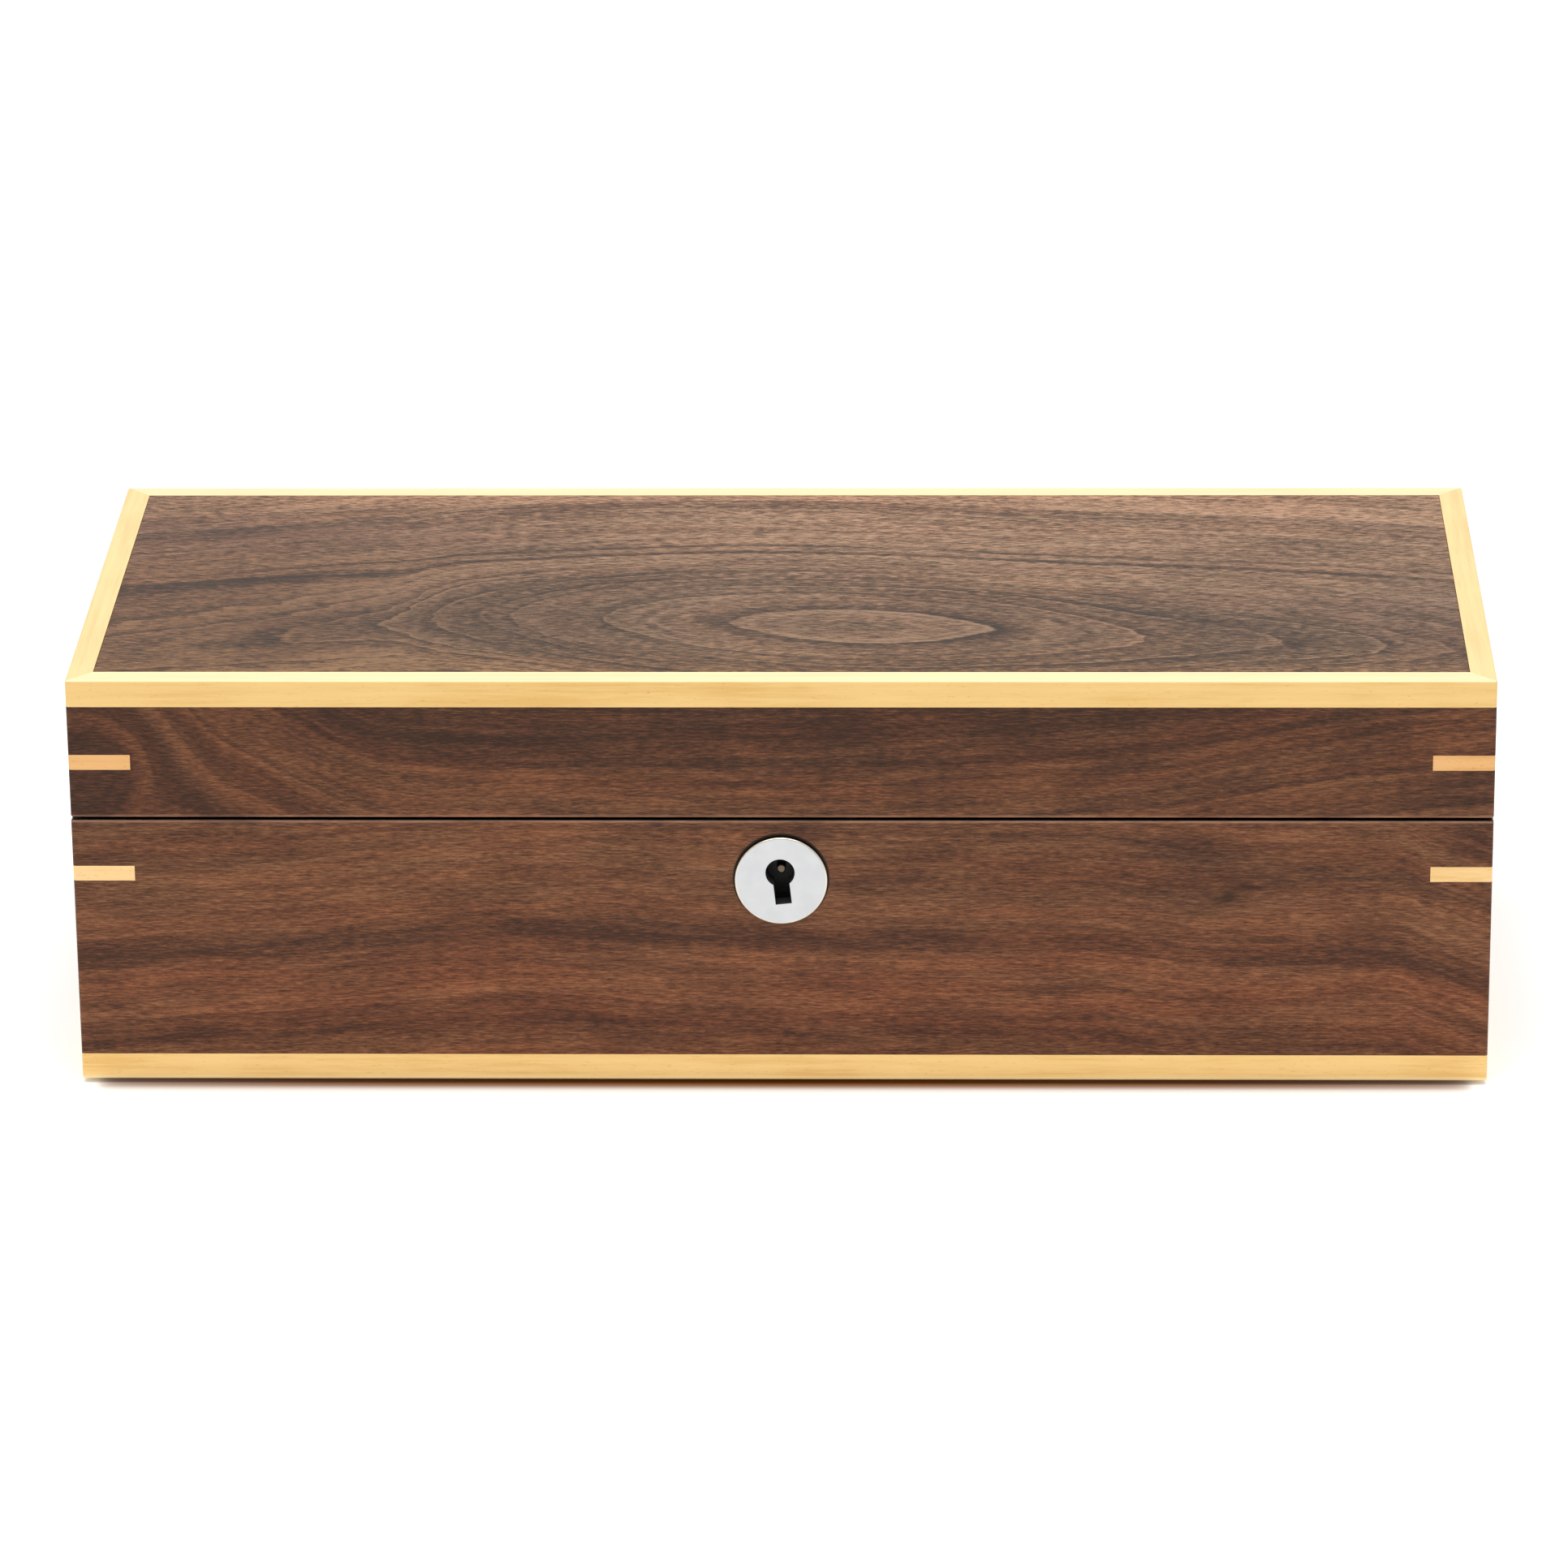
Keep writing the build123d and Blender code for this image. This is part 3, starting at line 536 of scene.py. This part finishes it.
def suede(name, colour):
    """Brushed suede-like cloth: short nap that lies light and dark in patches."""
    n = Nodes(name)
    place = n.place()
    nap = n.pattern(place, (16.0, 16.0, 16.0), 3.0, 0.6, 0.6)
    pile = n.pattern(place, (0.55, 0.55, 0.55), 3.0, 0.7)
    grit = n.pattern(place, (0.16, 0.16, 0.16))
    value = n.total((n.centred(nap), 1.1), (n.centred(pile), 0.8), (n.centred(grit), 0.6))
    value = n.math("ADD", value, 0.5, clamp=True)
    dark = [c * 0.72 for c in colour[:3]] + [1.0]
    light = [min(c * 1.16, 0.95) for c in colour[:3]] + [1.0]
    shade = n.ramp(value, [(0.15, dark), (0.5, colour), (0.85, light)])
    return n.finish(shade, 0.95, n.total((pile, 0.6), (grit, 0.4)), 0.12, Specular_IOR_Level=0.15,
                    Sheen_Weight=0.35, Sheen_Roughness=0.45, Sheen_Tint=(1.0, 0.95, 0.86, 1.0))


def felt_cloth():
    """Dark matted felt with stray fibres that lie both ways."""
    n = Nodes("felt")
    x, y, z = n.place()
    bend = n.noise(n.scaled(x, 3.0), n.scaled(y, 3.0), 0.0, 2.0)
    fine_x, fine_y = [n.math("ADD", n.scaled(place, 0.35), bend) for place in (x, y)]
    fibre = n.noise(fine_x, n.scaled(y, 1.4), z, 3.0, 0.7, 1.5)
    cross = n.noise(n.scaled(x, 1.4), fine_y, z, 3.0, 0.7, 1.5)
    value = n.math("MAXIMUM", fibre, cross)
    shade = n.ramp(value, [(0.35, rgb(18, 14, 13)), (0.6, rgb(38, 30, 27)), (0.8, rgb(84, 70, 62))])
    return n.finish(shade, 1.0, value, 0.15, Specular_IOR_Level=0.1, Sheen_Weight=0.3)


def board(name):
    """Bare light board, seen only through screw holes and joints."""
    n = Nodes(name)
    chip = n.pattern(n.place(), (2.5, 1.5, 0.8), 3.0, 0.7)
    shade = n.ramp(chip, [(0.3, rgb(128, 98, 68)), (0.5, rgb(168, 134, 96)), (0.7, rgb(196, 165, 124))])
    return n.finish(shade, 0.85, chip, 0.1)


# Tinted places on the woods, in millimetres: the middle along and across the grain, how far the tint reaches
# each way, its strength, and the tint
DARK, PURPLE, ROSY = (0.35, 0.30, 0.30), (0.62, 0.58, 0.66), (1.35, 1.12, 1.0)
TOP_SPOTS = (
    (-56.6, 4.6, 1.5, 0.8, 0.9, DARK),
    (20.3, -36.3, 1.7, 0.8, 0.9, DARK),
    (-132.7, -57.1, 1.2, 0.9, 1.0, DARK),
    (-110.0, -37.5, 2.2, 2.0, 0.8, DARK),
    (-95.0, -20.5, 4.0, 0.8, 0.7, DARK),
    (109.5, -38.8, 3.4, 2.2, 0.6, PURPLE),
    (101.0, -33.0, 5.0, 2.6, 0.5, PURPLE),
    (93.0, -27.5, 7.0, 2.6, 0.5, PURPLE),
    (83.0, -21.5, 9.0, 2.6, 0.4, PURPLE),
    (96.0, -44.5, 9.0, 1.8, 0.4, PURPLE),
    (140.0, -36.0, 16.0, 24.0, 0.4, PURPLE),
    (20.0, 60.0, 170.0, 6.0, 0.5, ROSY),
    # Painted sheen: the next row lightens the back of the top. The row after it darkens a band towards the
    # front.
    (20.0, 56.0, 300.0, 34.0, 0.8, (1.57, 1.54, 1.55)),
    (20.0, -28.0, 300.0, 20.0, 0.8, (0.82, 0.79, 0.76)),
    (0.0, -60.0, 300.0, 16.0, 0.8, (1.0, 0.87, 0.60)),
    (-115.0, -5.0, 62.0, 62.0, 1.0, (0.74, 0.64, 0.52)),
    (-147.0, -20.0, 30.0, 40.0, 0.6, (1.25, 1.05, 0.95)),
    (-121.0, 31.0, 58.0, 12.0, 0.9, (0.70, 0.65, 0.74)),
    (-118.0, -42.0, 50.0, 30.0, 1.0, (0.84, 0.82, 0.72)),
    (-90.0, -18.0, 30.0, 16.0, 0.8, (0.87, 0.87, 0.92)),
    (-55.0, -27.0, 30.0, 14.0, 0.9, (0.86, 0.86, 0.86)),
    (45.0, -2.0, 30.0, 12.0, 0.8, (1.18, 1.15, 1.10)),
    (124.0, -17.0, 26.0, 8.0, 0.5, (0.76, 0.72, 0.78)),
)
LID_SPOTS = (
    (-150.0, 72.0, 7.0, 16.0, 0.8, PURPLE),
    (-136.0, 64.0, 14.0, 3.0, 0.5, PURPLE),
    (149.0, 69.0, 14.0, 7.0, 0.6, PURPLE),
    (-100.0, 82.0, 12.0, 8.0, 0.35, PURPLE),
)
BASE_SPOTS = (
    (95.6, 43.6, 2.8, 1.4, 1.0, DARK),
    (99.9, 46.2, 3.0, 0.9, 1.0, DARK),
    (96.1, 48.0, 3.0, 0.8, 0.6, DARK),
    (102.3, 48.7, 2.5, 0.7, 0.6, DARK),
    (106.7, 47.6, 2.5, 0.8, 0.6, DARK),
    (97.4, 36.3, 2.2, 1.0, 0.5, DARK),
    (89.0, 40.2, 4.5, 1.0, 0.45, DARK),
    (79.0, 45.9, 4.0, 0.8, 0.45, DARK),
    (92.0, 46.0, 18.0, 8.0, 0.55, PURPLE),
    (86.0, 56.0, 14.0, 4.0, 0.5, PURPLE),
    (0.0, 20.0, 400.0, 16.0, 1.0, (1.10, 0.97, 0.93)),
    (-20.0, 35.0, 90.0, 3.0, 0.35, PURPLE),
    (-40.0, 15.0, 110.0, 4.0, 0.3, PURPLE),
    (148.0, 56.0, 8.0, 5.0, 0.8, PURPLE),
    (-146.0, 55.0, 7.0, 5.0, 0.6, PURPLE),
)


def paint(material, *names):
    """Gives CAD nodes a material."""
    for name in names:
        target = NODES[name]
        target.data.materials.clear()
        target.data.materials.append(material)


def row_of(node):
    """Distance of a row of screws behind the middle of the box."""
    low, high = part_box(node)
    return (low.y + high.y) / 2 / MM


def paint_box():
    paint(walnut("walnut_top", 0, 1, WALNUT_TOP, 2.0, flat_sawn, TOP_TONE, TOP_RINGS,
                 (TOP_DEPTH_LEFT, TOP_DEPTH_RIGHT), warp=1.2, red=0.35, fine=3.0, streaky=0.7, length=32.0,
                 spots=TOP_SPOTS), "lid_top_veneer")
    paint(walnut("walnut_lid_front", 0, 2, WALNUT_LID, 5.0, round_knot, LID_TONE, warp=2.5, red=0.55,
                 calm=(-132.0, -88.0), wear_and_seam_light=LID_SEAM_LIGHT, spots=LID_SPOTS), "lid_wall_front")
    paint(walnut("walnut_base_front", 0, 2, WALNUT_BASE, 9.0, shifted(BASE_SHIFT), BASE_TONE, warp=2.5,
                 red=0.6, wear_and_seam_light=BASE_SEAM_LIGHT, spots=BASE_SPOTS, plate=PLATE_GAP_SHADOW), "base_wall_front")
    for part, colours, edge, back_seed, end_seed in (
        ("lid", WALNUT_LID, LID_SEAM_LIGHT, 21.0, 31.0),
        ("base", WALNUT_BASE, BASE_SEAM_LIGHT, 26.0, 37.0),
    ):
        back = walnut(f"walnut_{part}_back", 0, 2, colours, back_seed, wear_and_seam_light=edge)
        ends = walnut(f"walnut_{part}_ends", 1, 2, colours, end_seed, wear_and_seam_light=edge)
        paint(back, f"{part}_wall_back")
        paint(ends, f"{part}_wall_left", f"{part}_wall_right")

    # The base's maple is lighter than the lid's: painted light for the front of the base, which gets less
    # light by the floor
    for part, light, seed in (("lid", rgb(224, 184, 110), 1.0), ("base", rgb(239, 197, 121), 3.0)):
        long_grain = maple(f"maple_{part}_long", 0, light, seed, painted_top_light=0.42)
        short_grain = maple(f"maple_{part}_ends", 1, light, seed + 5.0, painted_top_light=0.18)
        paint(long_grain, f"{part}_banding_front", f"{part}_banding_back")
        paint(short_grain, f"{part}_banding_left", f"{part}_banding_right")
    for part, light, seed, flecks in (
        ("lid", rgb(218, 164, 98), 12.0, 0.8),
        ("base", rgb(232, 192, 128), 14.0, 0.7),
    ):
        splines = [name for name in NODES if name.startswith(f"{part}_spline_")]
        paint(maple(f"maple_{part}_spline", 0, light, seed, flecks), *splines)
    paint(board("board"), "lid_top_core", "base_floor_panel")

    paint(escutcheon_metal(), "escutcheon")
    nickel = metal("nickel", rgb(208, 206, 201), 0.24, 0, 0.008, 0.03, 0.06)
    paint(nickel, *[name for name in NODES if name.startswith("hinge_") and "screws" not in name])
    zinc = metal("zinc", rgb(178, 180, 183), 0.32, 0, 0.05, 0.10)
    paint(lock_metal(), "lock_case")
    paint(zinc, "lock_bolt", "lock_pillars", "link_plate", "link_hooks")
    base_rim, lid_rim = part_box("base_wall_front")[1].z / MM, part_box("lid_wall_front")[0].z / MM
    for part, rim, inward in (("base", base_rim, -1), ("lid", lid_rim, 1)):
        for node, plating, colour, places in (
            (f"hinge_{part}_screws", "nickel", rgb(204, 201, 195), HINGE_SCREWS),
            ("lock_screws" if part == "base" else "link_screws", "zinc", rgb(182, 184, 187), LOCK_SCREWS),
        ):
            paint(screw_metal(f"{plating}_{part}_screws", colour, places, row_of(node), rim, inward), node)
    paint(metal("spring_steel", rgb(120, 118, 122), 0.28), "lock_spring")
    paint(metal("black_steel", rgb(26, 25, 25), 0.42), "lock_cap")
    paint(metal("old_brass", rgb(104, 92, 76), 0.30), "lock_drill_pin")


# Lining

SWELL_FRAMES = 20

# Pads, in millimetres: the gap round one, how far its face lies below the CAD face, the size of its cells,
# the bevel and the flat width of its rim, and the heights of its crown and of its wrinkles
PAD_GAP, PAD_DROP, PAD_CELL, PAD_BEVEL, PAD_RIM = 0.4, 0.15, 3.2, 0.5, 3.0
PAD_CROWN, PAD_WRINKLE = 1.3, 0.12

# Wall linings, in millimetres: the size of cells along the wall, how uneven the face is, the distance from
# the ends over which it becomes so, and how far the back stands off the wall
LINING_CELL, LINING_GIVE, LINING_END, LINING_BACK = 3.0, 0.16, 4.0, 0.06


def smooth(mesh):
    for polygon in mesh.polygons:
        polygon.use_smooth = True


def piece(name, mesh, material, body, slot, *nodes):
    """Makes an object that stands for CAD nodes and moves with a body."""
    mesh.materials.append(material)
    shape = bpy.data.objects.new(name, mesh)
    bpy.context.scene.collection.objects.link(shape)
    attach(shape, body)
    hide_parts(*nodes)
    return shape


def slab(name, low, high, cell, bevel):
    """A closed slab of even cells with a bevelled rim, and the numbers of the vertices inside its top."""
    across = max(2, round((high.x - low.x) / cell))
    along = max(2, round((high.y - low.y) / cell))
    mesh = bmesh.new()
    layers = []
    for z, inset in ((low.z, 0.0), (high.z - bevel, 0.0), (high.z, bevel)):
        grid = []
        for j in range(along + 1):
            row = []
            for i in range(across + 1):
                x = low.x + inset + (high.x - low.x - 2 * inset) * i / across
                y = low.y + inset + (high.y - low.y - 2 * inset) * j / along
                edge = i in (0, across) or j in (0, along)
                row.append(mesh.verts.new((x, y, z)) if edge or z != high.z - bevel else None)
            grid.append(row)
        layers.append(grid)
    bottom, shoulder, top = layers
    for j in range(along):
        for i in range(across):
            mesh.faces.new((top[j][i], top[j][i + 1], top[j + 1][i + 1], top[j + 1][i]))
            mesh.faces.new((bottom[j][i], bottom[j + 1][i], bottom[j + 1][i + 1], bottom[j][i + 1]))
    rim = [(0, i) for i in range(across)] + [(j, across) for j in range(along)]
    rim += [(along, across - i) for i in range(across)] + [(along - j, 0) for j in range(along)]
    for k, (j, i) in enumerate(rim):
        jj, ii = rim[(k + 1) % len(rim)]
        for lower, upper in ((bottom, shoulder), (shoulder, top)):
            mesh.faces.new((lower[j][i], lower[jj][ii], upper[jj][ii], upper[j][i]))
    mesh.normal_update()
    result = bpy.data.meshes.new(name)
    free = [vertex for row in top[1:-1] for vertex in row[1:-1]]
    mesh.verts.index_update()
    indices = [vertex.index for vertex in free]
    mesh.to_mesh(result)
    mesh.free()
    return result, indices


def swell(shape, free, loose, limit):
    """Blows up a padded cover by cloth simulation. Only free vertices give, as far as loose says for their
    places, and none moves beyond limit."""
    start = [vertex.co.copy() for vertex in shape.data.vertices]
    pinned = shape.vertex_groups.new(name="held")
    gives = {index: loose(start[index]) for index in free}
    for vertex in shape.data.vertices:
        pinned.add([vertex.index], 1.0 - gives.get(vertex.index, 0.0), "REPLACE")
    cloth = shape.modifiers.new("cloth", "CLOTH")
    cloth.settings.quality = 6
    cloth.settings.mass = 0.2
    cloth.settings.tension_stiffness = cloth.settings.compression_stiffness = 12
    cloth.settings.bending_stiffness = 1.5
    cloth.settings.use_pressure = True
    cloth.settings.uniform_pressure_force = 4.0
    cloth.settings.effector_weights.gravity = 0.0
    cloth.settings.vertex_group_mass = "held"
    cloth.collision_settings.use_collision = False
    cloth.point_cache.frame_start, cloth.point_cache.frame_end = 1, SWELL_FRAMES
    scene = bpy.context.scene
    for number in range(1, SWELL_FRAMES + 1):
        scene.frame_set(number)
    shown = shape.evaluated_get(bpy.context.evaluated_depsgraph_get())
    moved = [shown.data.vertices[i].co - start[i] for i in range(len(start))]
    shape.modifiers.clear()
    shape.vertex_groups.clear()
    scene.frame_set(1)
    largest = max(offset.length for offset in moved) or 1.0
    scale = min(1.0, limit / largest)
    for vertex, origin, offset in zip(shape.data.vertices, start, moved):
        vertex.co = origin + offset * scale
    shape.data.update()


def pad(name, body, node, cover, face_down=False):
    """A wadded pad of cloth over card. The wall linings hold its rim flat, and its middle is crowned."""
    low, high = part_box(node)
    gap = Vector((PAD_GAP, PAD_GAP, 0)) * MM
    low, high = low + gap, high - gap
    middle, half = (low + high) / 2, (high - low) / 2
    drop = Vector((0, 0, PAD_DROP * MM))
    mesh, free = slab(name, low - middle, high - middle - drop, PAD_CELL * MM, PAD_BEVEL * MM)

    def loose(point):
        inside = min(half.x - abs(point.x), half.y - abs(point.y)) - PAD_RIM * MM
        return 1.0 if inside > 0 else 0.0

    shape = piece(name, mesh, cover, body, "suede_cloth", node)
    swell(shape, free, loose, PAD_CROWN * MM)
    flip = -1 if face_down else 1
    for vertex in mesh.vertices:
        co = vertex.co
        wrinkle = noise.noise(co * 55.0 + Vector((3.1, 0.7, 5.0))) * loose(co) * PAD_WRINKLE * MM
        if co.z > 0:
            co.z += wrinkle
        vertex.co = Vector((co.x, co.y * flip, co.z * flip)) + middle
    smooth(mesh)
    subdivide = shape.modifiers.new("soft", "SUBSURF")
    subdivide.levels = subdivide.render_levels = 1
    return shape


def rounded(points, radii, steps=4):
    """A closed outline with its corners rounded, each by its own radius."""
    result = []
    count = len(points)
    for i, radius in enumerate(radii):
        here = Vector(points[i])
        before = (Vector(points[i - 1]) - here).normalized()
        after = (Vector(points[(i + 1) % count]) - here).normalized()
        if radius <= 0:
            result.append(here)
            continue
        for k in range(steps + 1):
            share = k / steps
            result.append(here + before * radius * (1 - share) ** 2 + after * radius * share ** 2)
    return result


def lining(name, body, node, outline, radii, along, cover, seed):
    """A cloth-covered card: an outline of (distance from the wall, height) that is swept along one wall."""
    low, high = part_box(node)
    across = 1 - along
    start, stop = low[along], high[along]
    inward = 1 if low[across] + high[across] < 0 else -1
    wall = low[across] if inward > 0 else high[across]
    profile = rounded(outline, radii)
    cells = max(2, round((stop - start) / (LINING_CELL * MM)))
    mesh = bmesh.new()
    rows = []
    for i in range(cells + 1):
        position = start + (stop - start) * i / cells
        end = min(1.0, min(position - start, stop - position) / (LINING_END * MM))
        row = []
        for depth, height in profile:
            place = Vector((0, 0, height))
            place[along] = position
            uneven = noise.noise(Vector((position * 38 + seed, height * 60, depth * 60)))
            give = uneven * LINING_GIVE * MM * end if depth > LINING_BACK * MM + 1.2 * MM else 0.0
            place[across] = wall + (depth + give - 0.02 * MM) * inward
            row.append(mesh.verts.new(place))
        rows.append(row)
    count = len(profile)
    for first, second in zip(rows, rows[1:]):
        for k in range(count):
            mesh.faces.new((first[k], first[(k + 1) % count], second[(k + 1) % count], second[k]))
    mesh.faces.new(rows[0])
    mesh.faces.new(reversed(rows[-1]))
    bmesh.ops.recalc_face_normals(mesh, faces=mesh.faces)
    result = bpy.data.meshes.new(name)
    mesh.to_mesh(result)
    mesh.free()
    smooth(result)
    shape = piece(name, result, cover, body, "suede_cloth", node)
    return shape


def line_box():
    cream = suede("suede_cream", rgb(214, 194, 160))
    pad("pad_floor", "base", "base_floor_pad", cream)
    pad("pad_lid", "lid", "lid_top_pad", cream, face_down=True)
    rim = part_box("base_wall_front")[1].z
    back = LINING_BACK * MM
    for part in ("base", "lid"):
        for index, side in enumerate(SIDES):
            node = f"{part}_lining_{side}"
            low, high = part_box(node)
            along = 0 if side in ("front", "back") else 1
            thick = high[1 - along] - low[1 - along]
            bottom, top = low.z, high.z
            if part == "base":
                lip = 0.5 * MM
                outline = [(back, bottom), (back, rim), (lip, rim + 0.1 * MM), (lip, top), (thick, top),
                           (thick, bottom)]
                radii = [0, 0, 0, 0.7 * MM, 0.9 * MM, 0.1 * MM]
                seed = 3.0 * index
            else:
                outline = [(back, bottom), (back, top), (thick, top), (thick, bottom)]
                radii = [0.5 * MM, 0, 0, 0.9 * MM]
                seed = 3.0 * index + 20.0
            lining(f"lining_{part}_{side}", part, node, outline, radii, along, cream, seed)


def felt_sheet():
    """The felt under the box: a flat sheet with a cut edge that isn't quite straight."""
    low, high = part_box("base_felt")
    middle, half = (low + high) / 2, (high - low) / 2
    mesh, _ = slab("felt_sheet", low - middle, high - middle, 3.0 * MM, 0.25 * MM)
    for vertex in mesh.vertices:
        co = vertex.co
        if max(abs(co.x) / half.x, abs(co.y) / half.y) > 0.97:
            inset = 0.3 * MM + noise.noise(co * 300.0) * 0.25 * MM
            co = Vector((co.x * (1 - inset / half.x), co.y * (1 - inset / half.y), co.z))
        vertex.co = co + middle
    smooth(mesh)
    shape = piece("felt_sheet", mesh, felt_cloth(), "base", "felt", "base_felt")


# Room

# Shade on the paper in front of the box, in millimetres: by the distance past a line that lies SHADE_INSET
# inside the outline of the box, and by the distance from the middle along the box
SHADE_INSET = 3.0
SHADE_AWAY = ((0, 1.0), (2.5, 0.99), (3.5, 0.95), (4.5, 0.80), (5.5, 0.50), (6.5, 0.26),
              (7.5, 0.12), (8.5, 0.04), (9.5, 0.0))
SHADE_ALONG = ((0, 1.0), (60, 0.98), (100, 0.95), (120, 0.90), (140, 0.82), (145, 0.75), (150, 0.1),
               (152, 0.0))


def floor_paper(name, colour, roughness):
    """Pale paper that glows a little, with a brown shade where the front of the box stands on it."""
    n = Nodes(name)
    x, y, _ = n.place()
    cloud = n.noise(n.scaled(x, 60.0), n.scaled(y, 60.0), 0.0, 3.0)
    paper = n.mix(n.range(cloud, 0.3, 0.7), colour, [c * 0.99 for c in colour[:3]] + [1.0])
    past = []
    for place, edge in zip((x, y), OUTER):
        beyond = n.math("SUBTRACT", n.math("ABSOLUTE", place), edge - SHADE_INSET)
        past.append(n.math("MAXIMUM", beyond, 0.0))
    away = n.distance(*past, 0.0, 0.0)
    along = n.curve(n.math("ABSOLUTE", x), SHADE_ALONG)
    shade = n.times(n.curve(away, SHADE_AWAY), n.range(y, -50.0, -58.0), along)
    shown = n.mix(shade, paper, rgb(120, 70, 10))
    return n.finish(shown, roughness, Specular_IOR_Level=0.2, Emission_Color=shown, Emission_Strength=0.12)


def make_room():
    mesh = bpy.data.meshes.new("floor")
    corners = [(-FLOOR, -FLOOR, 0), (FLOOR, -FLOOR, 0), (FLOOR, FLOOR, 0), (-FLOOR, FLOOR, 0)]
    mesh.from_pydata(corners, [], [(0, 1, 2, 3)])
    mesh.materials.append(floor_paper("floor", rgb(250, 250, 249), 0.7))
    floor = bpy.data.objects.new("floor", mesh)
    bpy.context.scene.collection.objects.link(floor)

    scene = bpy.context.scene
    scene.world = bpy.data.worlds.new("room")
    scene.world.use_nodes = True
    background = scene.world.node_tree.nodes["Background"]
    background.inputs["Color"].default_value = (1.0, 1.0, 1.0, 1.0)
    background.inputs["Strength"].default_value = WORLD
    for name, power, size, at, aim in LAMPS:
        light = bpy.data.lights.new(name, "AREA")
        light.energy, light.size = power, size
        lamp = bpy.data.objects.new(name, light)
        lamp.location = at
        lamp.rotation_euler = (Vector(aim) - Vector(at)).to_track_quat("-Z", "Y").to_euler()
        scene.collection.objects.link(lamp)
    scene.view_settings.view_transform = "Standard"


def make_camera():
    camera = bpy.data.cameras.new("camera")
    camera.lens = CAMERA_LENS
    camera.sensor_width = 36.0
    camera.clip_end = 50.0
    holder = bpy.data.objects.new("camera", camera)
    turn = Matrix.Rotation(math.radians(CAMERA_TURN), 4, "Z")
    tilt = Matrix.Rotation(math.radians(90 - CAMERA_DOWN), 4, "X")
    roll = Matrix.Rotation(math.radians(CAMERA_ROLL), 4, "Z")
    holder.matrix_world = Matrix.Translation(CAMERA_AT) @ turn @ tilt @ roll
    bpy.context.scene.collection.objects.link(holder)
    bpy.context.scene.camera = holder


make_camera()
make_room()
paint_box()
line_box()
felt_sheet()
